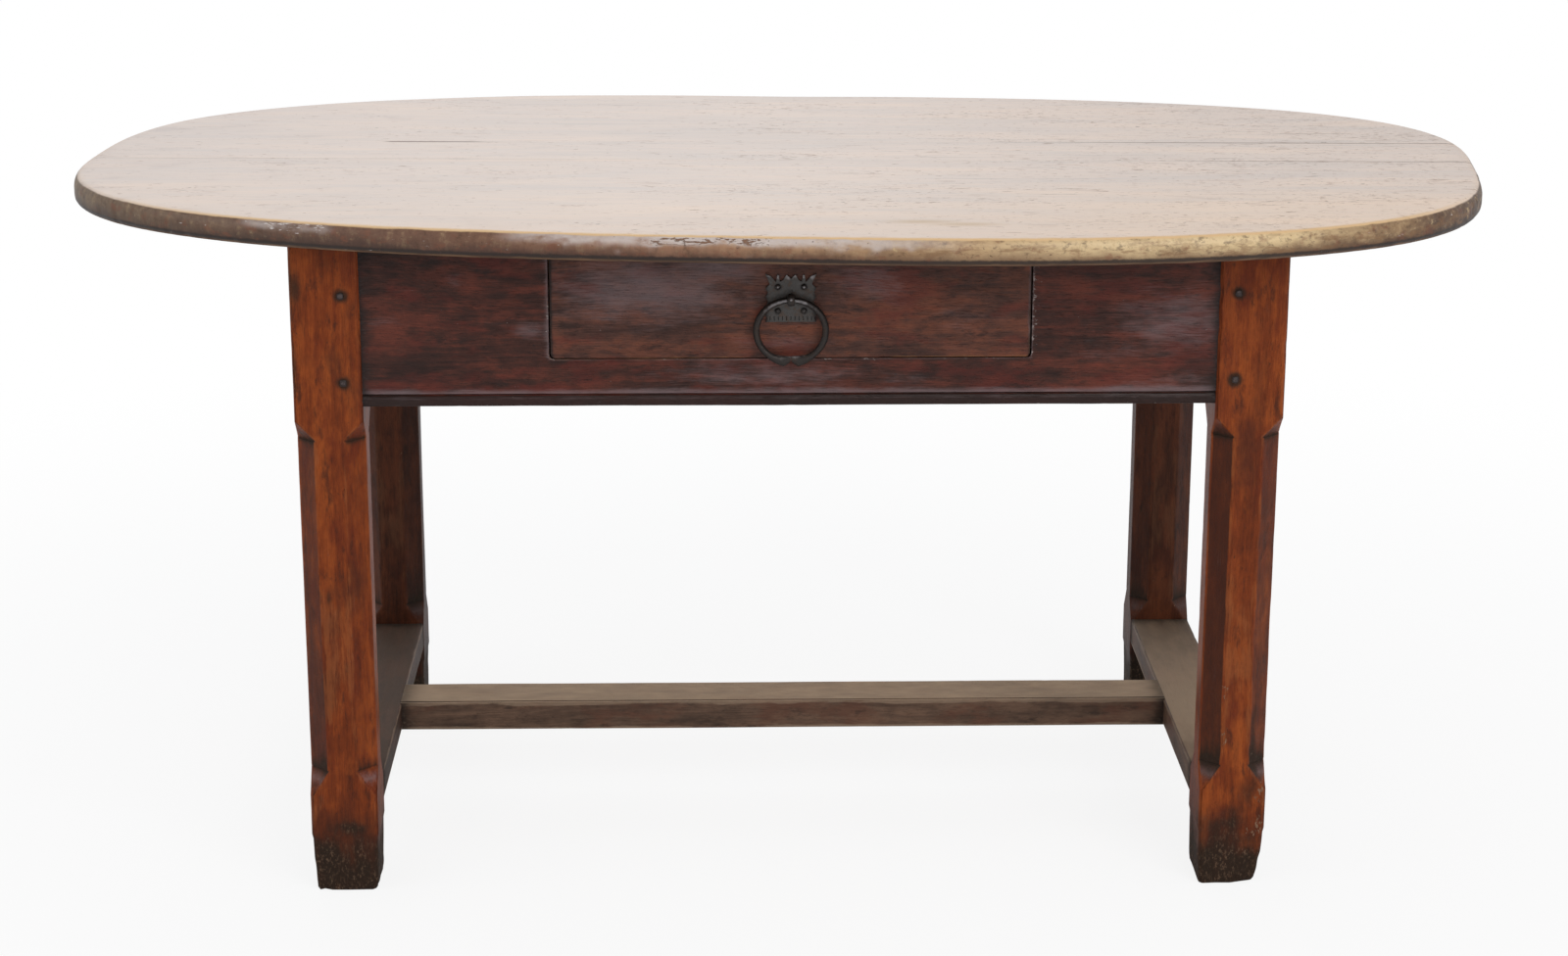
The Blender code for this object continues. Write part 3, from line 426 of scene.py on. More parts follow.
@dataclass(frozen=True)
class WaxedWood:
    """Old waxed wood: streaked, stained, rubbed along its arrises, soiled in corners, with painted
    sheen and shade.

    Attributes:
        name: Name of the material.
        deep: Darkest streaks.
        middle: Main colour.
        bright: Lightest streaks.
        patch: Colour of cloudy patches.
        stain: Dark blotches and strokes, and what the shade mark darkens, the painted shadow of a
            plank's dusk among it.
        sheen_colour: Painted sheen, the pale reflection of the wax laid into the colour.
        bare: Wood that shows where an arris is rubbed.
        scuff: Pale marks where the finish is knocked off.
        soil: Dirt in corners and at the floor, and the painted shade that the soil mark carries.
        dust_and_sheen: Colour of what lies on upward faces, lighter, and the painted sheen of
            light from above.
        dust_and_sheen_amount: How much of that there is, 0 to 1.
        rubbed: How strongly the arrises are rubbed, 0 to 1.
        roughness: How matt the wax is.
        gloss: Level of the wax's reflection.
        pegs: Places of pegs that have darkened the wood, as distances from the middle.
        halo: How far a peg has darkened it.
    """

    name: str
    deep: Tint
    middle: Tint
    bright: Tint
    patch: Tint
    stain: Tint
    sheen_colour: Tint
    bare: Tint
    scuff: Tint
    soil: Tint
    dust_and_sheen: Tint
    dust_and_sheen_amount: float
    rubbed: float
    roughness: float
    gloss: float
    pegs: tuple[Place, ...] = ()
    halo: float = 0.0150

    def material(self) -> Material:
        """Build the node tree.

        Returns:
            The material.
        """
        paint = Paint(self.name)
        lay = paint.lay(Grain.MARKED)
        sway = paint.noise(lay, (0.42, 0.11, 0.11), 2) - 0.5
        bent = paint.vector("ADD", lay, paint.join(0.0, sway * 0.035, sway * 0.03))
        figure = paint.noise(bent, (0.26, 0.030, 0.030), 4, 0.6)
        streak = paint.noise(bent, (0.10, 0.0056, 0.0056), 4, 0.6, 3.0)
        fibre = paint.noise(bent, (0.026, 0.0011, 0.0011), 3, 0.6, 7.0)
        mottle = paint.noise(lay, (0.022, 0.015, 0.015), 4, 0.64, 47.0) - 0.5
        tone = figure * 0.50 + streak * 0.31 + fibre * 0.19 + mottle * 0.30
        colour = paint.ramp(tone, (0.36, self.deep), (0.50, self.middle), (0.64, self.bright))
        cloud = paint.noise(lay, (0.085, 0.034, 0.034), 4, 0.6, 11.0)
        colour.cover(cloud.rise(0.50, 0.64) * 0.60, self.patch)
        ember = paint.noise(lay, (0.060, 0.024, 0.024), 4, 0.62, 14.0).rise(0.50, 0.66)
        colour.cover(ember * 0.45, self.bright)
        blot = paint.noise(lay, (0.042, 0.014, 0.014), 5, 0.68, 17.0).rise(0.55, 0.68)
        smoke = paint.noise(lay, (0.120, 0.040, 0.040), 5, 0.62, 18.0).rise(0.50, 0.68)
        stroke = paint.noise(bent, (0.024, 0.0024, 0.0024), 3, 0.6, 19.0).rise(0.60, 0.72)
        dark = (blot * 0.70).most(smoke * 0.62).most(stroke * 0.34)
        colour.cover(dark, self.stain)
        patchy = paint.noise(lay, (0.045, 0.016, 0.016), 4, 0.6, 29.0) - 0.5
        # The shade mark darkens towards the stain: dark chamfers, bead and feet, and the painted
        # shadow of a plank's dusk.
        dim = (paint.mark("shade") + patchy * 0.8).rise(0.16, 0.95)
        colour.cover(dim * 0.88, self.stain)
        speck = paint.noise(lay, (0.0070, 0.0046, 0.0046), 4, 0.66, 43.0)
        colour.cover(speck.rise(0.655, 0.725) * 0.55, self.soil)
        pore = paint.noise(bent, (0.012, 0.0006, 0.0009), 2, 0.5, 23.0).rise(0.60, 0.72)
        colour.cover(pore * 0.30, self.soil)

        # Painted sheen: pale reflection of the wax, laid on as colour in patches and lines.
        haze = (paint.mark("haze") + patchy * 1.1 + (fibre - 0.5) * 0.9).rise(0.15, 1.10)
        colour.cover(haze * 0.62, self.sheen_colour)
        rub = (paint.mark("wear") + patchy * 1.9 + (fibre - 0.5) * 0.8).rise(0.62, 1.10)
        rub = rub * self.rubbed
        colour.cover(rub, self.bare)
        # The soil mark is dirt, and painted shade under the top and below the upper stops.
        grime = (paint.mark("soil") + patchy * 0.9).rise(0.22, 0.90)
        for peg in self.pegs:
            around = paint.vector("ABSOLUTE", paint.place())
            ring = paint.spot(around, peg, (self.halo,) * 3)
            grime = grime.most((ring * 1.5 + patchy * 1.3).rise(0.28, 1.15))
        crumb = paint.noise(lay, (0.0056, 0.0034, 0.0034), 5, 0.74, 41.0).rise(0.49, 0.68)
        heap = paint.noise(lay, (0.026, 0.017, 0.017), 4, 0.62, 45.0).rise(0.42, 0.62)
        _, _, level = paint.split(paint.place())
        crumb = crumb * (0.06 + level.fall(0.055, 0.13) * (0.13 + heap * 0.34))
        dirt = paint.blend(crumb, self.soil, self.scuff)
        colour.cover(grime * 0.88, dirt)
        nick = paint.noise(lay, (0.0070, 0.0036, 0.0036), 4, 0.7, 37.0)
        scuffed = (nick + paint.mark("scuffs") * 0.12).rise(0.715, 0.775)
        colour.cover(scuffed * (0.75 - grime * 0.25), self.scuff)
        # Dust on upward faces, and the painted sheen of light from above, make them lighter.
        _, _, up = paint.facing()
        dust_and_sheen_mask = up.rise(0.85, 0.985) * (0.80 + patchy * 0.9) * self.dust_and_sheen_amount
        dust_and_sheen_mask = dust_and_sheen_mask * (1 - grime * 0.6) * (1 - dim * 0.7)
        colour.cover(dust_and_sheen_mask, self.dust_and_sheen)

        roughness = self.roughness + (streak - 0.5) * 0.25 + grime * 0.22 + dust_and_sheen_mask * 0.3
        height = 0.5 + streak * 0.30 + fibre * 0.26 - pore * 0.3 - scuffed * 0.4
        height = height + patchy * 0.8 - blot * 0.12
        return paint.finish(
            colour, roughness.most(0.2), height, 0.0007, {"Specular IOR Level": self.gloss}
        )


@dataclass(frozen=True)
class ScrubbedTop:
    """A scrubbed, bleached top with a rubbed golden arris and a handled rim.

    Attributes:
        name: Name of the material.
        cream: Warm streaks of the top.
        lilac: Cool streaks of the top.
        honey: Warmth of its front and right parts, which also paints light on the right half.
        mark: Short brown dashes.
        fleck: Dark flecks and hairlines.
        painted_shade_grey: Painted shade: grey that darkens the left half and the front edge, in
            clouds.
        gold: Rubbed arris.
        stain: Old spill.
        crack: Dirt in the rim's hollows and pinholes, and painted shade towards its foot.
        black: Painted shadow along the rim's lower edge, over the aprons, with dirt.
        seam: Filled crack, joints and shakes.
        pit: Bare wood in the chewed pits.
        rust: Reddish patches of the rim.
        grub: Brown dirt smeared along its right half.
        sheen: Painted sheen, a pale reflection over the roll of the rim and between its pits.
        chip: Fresh scuffs of the rim.
        upper: Colours of the rim's upper part from the left end to the right one.
        lower: Colours of its lower part, darker: its own colour, and painted shade under the roll.
        straw: Pale flakes of the rim.
        raw: Sawn underside.
        dusk: Dark streaks of the underside.
    """

    name: str = "scrubbed_top"
    cream: Tint = tint(230, 212, 199)
    lilac: Tint = tint(212, 200, 192)
    honey: Tint = tint(236, 208, 180)
    mark: Tint = tint(130, 90, 60)
    fleck: Tint = tint(74, 48, 32)
    painted_shade_grey: Tint = tint(176, 164, 160)
    gold: Tint = tint(214, 176, 124)
    stain: Tint = tint(196, 168, 132)
    crack: Tint = tint(70, 46, 30)
    black: Tint = tint(34, 22, 16)
    seam: Tint = tint(66, 34, 12)
    pit: Tint = tint(112, 76, 50)
    rust: Tint = tint(118, 70, 48)
    grub: Tint = tint(122, 90, 60)
    sheen: Tint = tint(196, 184, 178)
    chip: Tint = tint(214, 206, 202)
    upper: tuple[tuple[float, Tint], ...] = (
        (0.00, tint(118, 98, 76)), (0.10, tint(108, 84, 66)), (0.20, tint(102, 73, 58)),
        (0.30, tint(110, 78, 60)), (0.42, tint(150, 110, 85)), (0.50, tint(160, 124, 93)),
        (0.60, tint(174, 142, 104)), (0.70, tint(209, 183, 140)), (0.82, tint(212, 186, 142)),
        (0.88, tint(148, 120, 88)), (0.93, tint(98, 74, 56)), (1.00, tint(88, 70, 54)),
    )
    lower: tuple[tuple[float, Tint], ...] = (
        (0.00, tint(78, 62, 48)), (0.10, tint(72, 54, 43)), (0.22, tint(62, 42, 34)),
        (0.33, tint(70, 45, 36)), (0.45, tint(86, 57, 43)), (0.56, tint(98, 68, 49)),
        (0.68, tint(144, 116, 86)), (0.82, tint(130, 102, 74)), (0.89, tint(84, 60, 44)),
        (0.94, tint(60, 44, 36)), (1.00, tint(56, 44, 38)),
    )
    straw: Tint = tint(198, 170, 128)
    raw: Tint = tint(122, 92, 66)
    dusk: Tint = tint(84, 60, 44)

    def material(self) -> Material:
        """Build the node tree.

        Returns:
            The material.
        """
        paint = Paint(self.name)
        turned = paint.node(
            "ShaderNodeVectorRotate",
            {"rotation_type": "Z_AXIS"},
            {"Vector": paint.place(), "Angle": -TOP_TURN},
        ).outputs[0]
        along, across, height = paint.split(turned)
        board = across.over(FRONT_JOINT) * 2.3 + across.over(BACK_JOINT) * 3.1
        lay = paint.join(along + board, across + board * 0.37, height)
        sway = paint.noise(lay, (0.55, 0.12, 0.2), 2) - 0.5
        bent = paint.vector("ADD", lay, paint.join(0.0, sway * 0.03, 0.0))

        broad = paint.noise(bent, (0.34, 0.050, 0.1), 4, 0.62)
        streak = paint.noise(bent, (0.10, 0.0075, 0.02), 4, 0.62, 5.0)
        fibre = paint.noise(bent, (0.030, 0.0014, 0.006), 3, 0.6, 9.0)
        tone = broad * 0.52 + streak * 0.30 + fibre * 0.18
        top = paint.ramp(tone, (0.37, self.lilac), (0.62, self.cream))
        # Painted shade: grey clouds darken the left half.
        dull = paint.noise(lay, (0.090, 0.040, 0.1), 5, 0.66, 57.0).rise(0.53, 0.72)
        top.cover(dull * (0.06 + along.fall(-0.75, 0.1) * 0.26), self.painted_shade_grey)
        shade = paint.noise(bent, (0.12, 0.0060, 0.02), 4, 0.62, 13.0).rise(0.52, 0.74)
        # Honey warms the front and lifts the right half: wood tone, and painted light on the
        # right.
        warm = across.fall(-0.40, -0.05) * (0.22 + along.rise(-0.2, 0.6) * 0.30)
        top.cover(warm + (broad - 0.5) * 0.5, self.honey)
        # Brown streaks, and a darker band along the front edge: painted shade.
        top.cover(shade * 0.07 + across.fall(-0.46, -0.30) * 0.04, self.mark)
        # Painted shade: grey near the front edge of the left half and over the far left.
        edge = across.fall(-0.42, -0.24) * along.fall(0.10, 0.45) * 0.12
        top.cover((along.fall(-0.78, 0.1) * 0.12).most(edge), self.painted_shade_grey)
        crowd = paint.noise(lay, (0.22, 0.060, 0.1), 3, 0.6, 21.0).rise(0.42, 0.66)
        crowd = (crowd * 0.7 + along.rise(-0.3, 0.6) * 0.6).least(1.2)
        dash, knot = self._dashes(paint, bent, crowd)
        top.cover(dash, self.mark)
        top.cover(knot, self.fleck)
        top.cover(self._stain(paint, turned), self.stain)
        lines, gaps = self._lines(paint, along, across, lay)
        top.cover(lines, self.seam)

        _, _, up = paint.facing()
        blur = paint.noise(lay, (0.02, 0.02, 0.02), 4, 0.6, 51.0) - 0.5
        near = (paint.mark("inset") + blur * 0.006).fall(0.0068, 0.0140)
        front = across.fall(-0.375, -0.22)
        rim, handled = self._rim(paint, along, turned, height, up + blur * 0.35)
        lean = up + blur * 0.22
        colour = paint.blend(near * (0.10 + front * 0.78), top, self.gold)
        roll = lean.fall(0.66, 0.86)
        colour.cover(roll, rim)
        below = up.fall(-0.80, -0.45)
        sawn = paint.blend(streak.rise(0.35, 0.65), self.raw, self.dusk)
        colour.cover(below, sawn)

        roughness = 0.55 + (streak - 0.5) * 0.25 + dash * 0.1 + lines * 0.2
        roughness = (roughness - roll * 0.12 + handled * 0.2 + below * 0.3).most(0.3)
        grain_cut = streak * 0.22 + fibre * 0.18 - dash * 0.35 - knot * 0.4 - gaps * 0.3
        relief = 0.6 + grain_cut - handled * roll * 0.9
        return paint.finish(colour, roughness, relief, 0.0006, {"Specular IOR Level": 0.4})

    def _dashes(self, paint: Paint, bent: Socket, crowd: Signal) -> tuple[Signal, Signal]:
        """Short brown dashes and darker flecks along the grain.

        Args:
            paint: The tree.
            bent: Place in the boards.
            crowd: Where they stand closer, 0 to 1.

        Returns:
            How strong the dashes and the flecks are.
        """
        fine = paint.noise(bent, (0.012, 0.0036, 0.01), 3, 0.6, 31.0) + crowd * 0.07
        long = paint.noise(bent, (0.034, 0.0050, 0.02), 4, 0.62, 37.0) + crowd * 0.05
        soft = paint.noise(bent, (0.060, 0.012, 0.02), 4, 0.6, 41.0) + crowd * 0.05
        dash = (fine.rise(0.665, 0.735) * 0.66).most(long.rise(0.665, 0.74) * 0.62)
        dash = dash.most(soft.rise(0.61, 0.76) * 0.20)
        dark = paint.noise(bent, (0.014, 0.0060, 0.02), 3, 0.6, 43.0) + crowd * 0.06
        hair = paint.noise(bent, (0.024, 0.0030, 0.01), 3, 0.6, 47.0) + crowd * 0.06
        knot = (dark.rise(0.715, 0.78) * 0.8).most(hair.rise(0.70, 0.77) * 0.55)
        return dash, knot

    def _stain(self, paint: Paint, turned: Socket) -> Signal:
        """The ochre smear near the front edge.

        Args:
            paint: The tree.
            turned: Place in the top's own frame.

        Returns:
            How strong it is.
        """
        first = paint.spot(turned, (0.145, -0.372, TABLE_HEIGHT), (0.060, 0.016, 0.1))
        second = paint.spot(turned, (0.190, -0.385, TABLE_HEIGHT), (0.060, 0.016, 0.1))
        return first.most(second) * 0.7

    def _lines(
        self, paint: Paint, along: Signal, across: Signal, lay: Socket
    ) -> tuple[Signal, Signal]:
        """Dirt in the two joints, a filled crack and a few hairline shakes.

        Args:
            paint: The tree.
            along: Place along the top.
            across: Place across it.
            lay: Place in the boards.

        Returns:
            How dark the lines are, and how deep.
        """
        broken = paint.noise(lay, (0.10, 5.0, 5.0), 4, 0.65, 61.0)
        wobble = (paint.noise(lay, (0.05, 5.0, 5.0), 3, 0.6, 67.0) - 0.5) * 0.0016
        off = across + wobble
        front = abs(off - FRONT_JOINT).fall(0.0004, 0.0023)
        front = front * (along.fall(-0.45, 0.1) * 0.22 + along.rise(0.35, 0.60) * 0.80)
        front = front * (broken * 2.2 - 0.25)
        back = abs(off - BACK_JOINT).fall(0.0004, 0.0024)
        back = back * (0.04 + along.rise(0.22, 0.45) * 0.86) * (broken * 2.2 - 0.25)
        body = along.rise(-0.478, -0.462) * along.fall(-0.375, -0.340)
        thick = 0.0013 + broken * 0.0014
        filled = (abs(off - 0.1012) / thick).fall(0.5, 1.6) * body
        tail = abs(off - 0.1005).fall(0.0003, 0.0020) * along.rise(-0.40, -0.36)
        tail = tail * along.fall(-0.34, -0.26) * broken.rise(0.3, 0.6)
        lines = front.most(back).most(filled * 0.9).most(tail * 0.5)
        for start, stop, where, dark in (
            (0.30, 0.52, 0.022, 0.30), (-0.12, 0.16, 0.062, 0.22), (0.56, 0.70, 0.176, 0.6),
            (-0.62, -0.36, -0.155, 0.22), (0.05, 0.40, -0.128, 0.26), (-0.30, 0.02, 0.23, 0.2),
            (0.40, 0.66, -0.07, 0.42), (0.10, 0.62, 0.008, 0.25), (-0.20, 0.25, 0.165, 0.2),
        ):
            reach = along.rise(start, start + 0.05) * along.fall(stop - 0.06, stop)
            hair = abs(off + wobble * 2 - where).fall(0.0003, 0.0017)
            lines = lines.most(hair * reach * dark * broken.rise(0.38, 0.62))
        return lines, front.most(back).most(filled)

    def _rim(
        self, paint: Paint, along: Signal, turned: Socket, height: Signal, lean: Signal
    ) -> tuple[Coat, Signal]:
        """Colour of the rolled rim, and how far it is worn into pits.

        Args:
            paint: The tree.
            along: Place along the top.
            turned: Place in the top's own frame.
            height: Height above the floor.
            lean: How far the surface faces up, a little blurred.

        Returns:
            The colour and the pits.
        """
        smear = paint.noise(turned, (0.0085, 0.0085, 0.026), 5, 0.70, 71.0)
        spots = paint.noise(turned, (0.010, 0.010, 0.0065), 5, 0.72, 73.0)
        cloud = paint.noise(turned, (0.045, 0.045, 0.020), 4, 0.6, 79.0)
        moved = (along + (cloud - 0.5) * 0.14) / 1.6 + 0.5
        foot = (TABLE_HEIGHT - height) / TOP_THICKNESS
        down = foot + (cloud - 0.5) * 0.8
        down = down + (spots - 0.5) * 0.5
        # The lower part is darker: its own colour, and painted shade under the roll.
        rim = paint.blend(
            down.rise(0.22, 0.86), paint.ramp(moved, *self.upper), paint.ramp(moved, *self.lower)
        )
        right = along.rise(-0.15, 0.30)
        grain = spots * (0.55 + right * 0.25) + smear * (0.45 - right * 0.25)
        high = 1 - down.rise(0.50, 0.95)
        pale = grain.rise(0.50, 0.66) * (0.22 + right * 0.20) * high
        rim.cover(pale, self.straw)
        rim.cover(grain.fall(0.36, 0.50) * 0.62, self.crack)
        rust = paint.noise(turned, (0.016, 0.016, 0.011), 4, 0.66, 81.0).rise(0.52, 0.68)
        rim.cover(rust * 0.5, self.rust)
        grub = paint.noise(turned, (0.032, 0.032, 0.0075), 5, 0.70, 87.0).rise(0.47, 0.62)
        grub = grub * along.rise(0.02, 0.18) * (0.36 + down.rise(0.10, 0.55) * 0.34)
        rim.cover(grub, self.grub)

        chipped = along.rise(-0.570, -0.545) * along.fall(-0.480, -0.455) * lean.rise(-0.1, 0.2)
        calm = (along.rise(-0.30, -0.24) * along.fall(0.06, 0.22)).most(chipped * 0.6)
        # Painted sheen: a pale reflection over the upper roll.
        wax = lean.rise(0.00, 0.38) * calm * cloud.rise(0.28, 0.58)
        rim.cover(wax * 0.85, self.sheen)
        flake = (spots + (cloud - 0.5) * 0.3 + right * 0.03).rise(0.66, 0.71)
        rim.cover(flake * high * (0.34 + right * 0.26), self.straw)
        # Darker towards the foot and a black line at the lower edge: painted shadow under the rim,
        # with dirt.
        foot_shade = (foot + (spots - 0.5) * 0.5).rise(0.60, 0.98)
        rim.cover(foot_shade * (0.88 - right * 0.42), self.crack)
        rim.cover((foot + (spots - 0.5) * 0.14).rise(0.71, 0.80) * 0.9, self.black)
        knock = paint.noise(turned, (0.013, 0.013, 0.0026), 4, 0.65, 85.0)
        chips = (knock + chipped * 0.15).rise(0.69, 0.76)
        rim.cover(chips * 0.75, self.chip)

        chewed = along.rise(-0.150, -0.125) * along.fall(-0.015, 0.01)
        worm = paint.noise(turned, (0.013, 0.05, 0.0030), 3, 0.7, 83.0)
        band = lean.rise(0.10, 0.30) * lean.fall(0.84, 0.96)
        pits = (worm + chewed * 0.125).rise(0.645, 0.70) * band * (0.12 + chewed * 0.88)
        # Painted sheen round the pits.
        halo = (worm + chewed * 0.12).rise(0.50, 0.60) * band * chewed
        rim.cover(halo * (1 - pits) * 0.7, self.sheen)
        pin = paint.noise(turned, (0.0045, 0.0045, 0.0040), 3, 0.6, 89.0).rise(0.67, 0.73)
        rim.cover(pits * 0.9, self.pit)
        rim.cover(pin * 0.7, self.crack)
        return rim, pits.most(flake * 0.25).most(pin * 0.4)


@dataclass(frozen=True)
class BarePine:
    """Unfinished pine inside the drawer and the frame.

    Attributes:
        name: Name of the material.
        early: Soft pale wood.
        late: Hard darker lines.
        grime: Handling and age.
        spacing: Distance between two year rings.
    """

    name: str = "bare_pine"
    early: Tint = tint(176, 134, 88)
    late: Tint = tint(130, 86, 50)
    grime: Tint = tint(78, 54, 36)
    spacing: float = 0.0042

    def material(self, grain: Grain) -> Material:
        """Build the node tree.

        Args:
            grain: Direction of the grain.

        Returns:
            The material.
        """
        paint = Paint(f"{self.name}_{grain.name.lower()}")
        lay = paint.lay(grain)
        sway = paint.noise(lay, (0.35, 0.07, 0.07), 2) - 0.5
        _, across, through = paint.split(lay)
        ring = (across + through * 0.6 + sway * 0.03) / self.spacing
        wave = paint.math("SINE", ring * math.tau) * 0.5 + 0.5
        fibre = paint.noise(lay, (0.05, 0.0012, 0.0012), 3, 0.6, 4.0)
        line = (wave * 0.7 + fibre * 0.5).rise(0.55, 1.0)
        colour = paint.blend(line * 0.6, self.early, self.late)
        cloud = paint.noise(lay, (0.09, 0.05, 0.05), 4, 0.6, 8.0)
        colour.cover(cloud.rise(0.45, 0.68) * 0.6, self.grime)
        height = 0.5 + line * 0.25 + fibre * 0.2
        roughness = 0.78 + (fibre - 0.5) * 0.2
        return paint.finish(colour, roughness, height, 0.0004, {"Specular IOR Level": 0.3})


@dataclass(frozen=True)
class PegEnd:
    """Dark end grain of a driven peg.

    Attributes:
        name: Name of the material.
        dark: Main colour.
        light: Painted highlight on the middle of the head, with wear.
    """

    name: str = "peg_end_grain"
    dark: Tint = tint(41, 30, 27)
    light: Tint = tint(84, 72, 72)

    def material(self) -> Material:
        """Build the node tree.

        Returns:
            The material.
        """
        paint = Paint(self.name)
        lay = paint.lay(Grain.MARKED)
        rings = paint.noise(lay, (0.02, 0.0011, 0.004), 3, 0.6)
        cloud = paint.noise(lay, (0.01, 0.004, 0.004), 3, 0.6, 5.0)
        tone = rings * 0.5 + cloud * 0.5
        # Painted highlight: the head's middle is lighter, from its wear mark.
        middle = (paint.mark("wear") + (cloud - 0.5) * 3.0).rise(0.60, 1.3)
        colour = paint.blend(middle * (0.35 + rings * 0.6), self.dark, self.light)
        roughness = 0.45 + (cloud - 0.5) * 0.3
        return paint.finish(colour, roughness, tone, 0.0005, {"Specular IOR Level": 0.35})


@dataclass(frozen=True)
class WroughtIron:
    """Hammered black iron, rubbed brighter and given painted highlights on its high places.

    Attributes:
        name: Name of the material.
        scale: Black fire scale.
        brown: Old rust under wax.
        bright: Rubbed metal, and the painted highlights.
        highlight_from: Height from which the piece gets a painted highlight, as if lit from above,
            if it does.
        nailed: Places of nails that have gathered dirt, as distances from the middle.
        dirt: Colour of that dirt, and of the plate's side edges: dirt with painted shade.
        inside: Painted shade on the side of the ring's bar that faces away from the front.
        halo: How far the dirt reaches round a nail.
    """

    name: str = "wrought_iron"
    scale: Tint = tint(50, 45, 43)
    brown: Tint = tint(62, 49, 41)
    bright: Tint = tint(150, 146, 148)
    highlight_from: float | None = None
    nailed: tuple[Place, ...] = ()
    dirt: Tint = (0.012, 0.010, 0.010)
    inside: Tint = (0.010, 0.008, 0.007)
    halo: float = 0.0056

    def material(self) -> Material:
        """Build the node tree.

        Returns:
            The material.
        """
        paint = Paint(self.name)
        where = paint.place()
        mottle = paint.noise(where, (0.007, 0.007, 0.007), 4, 0.6)
        blows = paint.noise(where, (0.0042, 0.0042, 0.0042), 1, 0.4, 9.0)
        grit = paint.noise(where, (0.0009, 0.0009, 0.0009), 3, 0.6, 13.0)
        colour = paint.blend(mottle.rise(0.48, 0.66) * 0.7, self.scale, self.brown)
        # The wear mark is rubbing, and painted highlights on the nail heads, the eye and the ring.
        worn = paint.mark("wear")
        if self.highlight_from is not None:
            # Painted highlight over the plate's upper part, as if lit from above.
            _, _, z = paint.split(where)
            worn = (z + (mottle - 0.5) * 0.012).rise(self.highlight_from, self.highlight_from + 0.014) * 0.95
            # Painted shade, with dirt, along the plate's side edges.
            side, _, _ = paint.split(paint.vector("ABSOLUTE", where))
            edge = (side + (mottle - 0.5) * 0.004).rise(0.0220, 0.0262)
            colour.cover(edge * 0.7, self.dirt)
            worn = worn - edge * 0.25
        rub = (worn + (mottle - 0.5) * 1.4).rise(0.55, 1.15)
        colour.cover(rub * 0.70, self.bright)
        for place in self.nailed:
            around = paint.vector("ABSOLUTE", where)
            ring = paint.spot(around, place, (self.halo,) * 3)
            colour.cover(ring * 1.5, self.dirt)
        # Painted shade on the ring's far side, from its soil mark.
        colour.cover(paint.mark("soil") * 0.75, self.inside)
        roughness = 0.46 + (mottle - 0.5) * 0.5 + (grit - 0.5) * 0.3 - rub * 0.12
        height = blows * 0.7 + grit * 0.15
        return paint.finish(colour, roughness.most(0.25), height, 0.0007, {"Metallic": 0.6})


RED_WALNUT = WaxedWood(
    name="red_walnut",
    deep=tint(86, 36, 14),
    middle=tint(116, 51, 19),
    bright=tint(147, 72, 28),
    patch=tint(92, 34, 17),
    stain=tint(62, 31, 20),
    sheen_colour=tint(140, 114, 112),
    bare=tint(142, 80, 42),
    scuff=tint(138, 110, 88),
    soil=tint(38, 30, 22),
    dust_and_sheen=tint(120, 92, 70),
    dust_and_sheen_amount=0.25,
    rubbed=0.50,
    roughness=0.44,
    gloss=0.14,
    pegs=(
        (0.475, 0.330, 0.5830), (0.475, 0.330, 0.6775), (0.529, 0.276, 0.5830),
        (0.529, 0.276, 0.6775), (0.529, 0.276, 0.1000),
    ),
)
# A darker copy of the legs' finish: painted shade for the back legs under the table.
SHADE_PAINTED_WALNUT = replace(
    RED_WALNUT,
    name="shade_painted_walnut",
    deep=tint(44, 21, 12),
    middle=tint(76, 39, 23),
    bright=tint(92, 49, 28),
    patch=tint(56, 25, 16),
    stain=tint(36, 20, 14),
    sheen_colour=tint(92, 76, 74),
    bare=tint(92, 58, 38),
)
DARK_WALNUT = WaxedWood(
    name="dark_walnut",
    deep=tint(34, 18, 15),
    middle=tint(62, 34, 27),
    bright=tint(104, 50, 37),
    patch=tint(92, 35, 27),
    stain=tint(38, 25, 22),
    sheen_colour=tint(122, 105, 107),
    bare=tint(112, 76, 52),
    scuff=tint(168, 156, 152),
    soil=tint(30, 23, 22),
    dust_and_sheen=tint(110, 88, 72),
    dust_and_sheen_amount=0.3,
    rubbed=0.6,
    roughness=0.40,
    gloss=0.22,
)
DRAWER_WALNUT = replace(
    DARK_WALNUT,
    name="drawer_walnut",
    deep=tint(44, 26, 22),
    middle=tint(80, 50, 41),
    bright=tint(120, 68, 48),
    patch=tint(104, 44, 33),
    bare=tint(128, 88, 54),
)
GREY_WALNUT = WaxedWood(
    name="grey_walnut",
    deep=tint(66, 49, 39),
    middle=tint(91, 70, 57),
    bright=tint(114, 88, 71),
    patch=tint(94, 60, 46),
    stain=tint(54, 41, 34),
    sheen_colour=tint(128, 112, 98),
    bare=tint(146, 124, 104),
    scuff=tint(160, 142, 122),
    soil=tint(36, 28, 24),
    dust_and_sheen=tint(178, 155, 130),
    dust_and_sheen_amount=0.94,
    rubbed=0.55,
    roughness=0.55,
    gloss=0.2,
)
# A darker copy of the stretchers' finish: painted shade for the left stretcher.
SHADE_PAINTED_SIDE_WALNUT = replace(
    GREY_WALNUT,
    name="shade_painted_side_walnut",
    deep=tint(46, 34, 28),
    middle=tint(64, 47, 39),
    bright=tint(84, 62, 50),
    dust_and_sheen=tint(92, 77, 66),
    dust_and_sheen_amount=0.7,
)


# Meshes


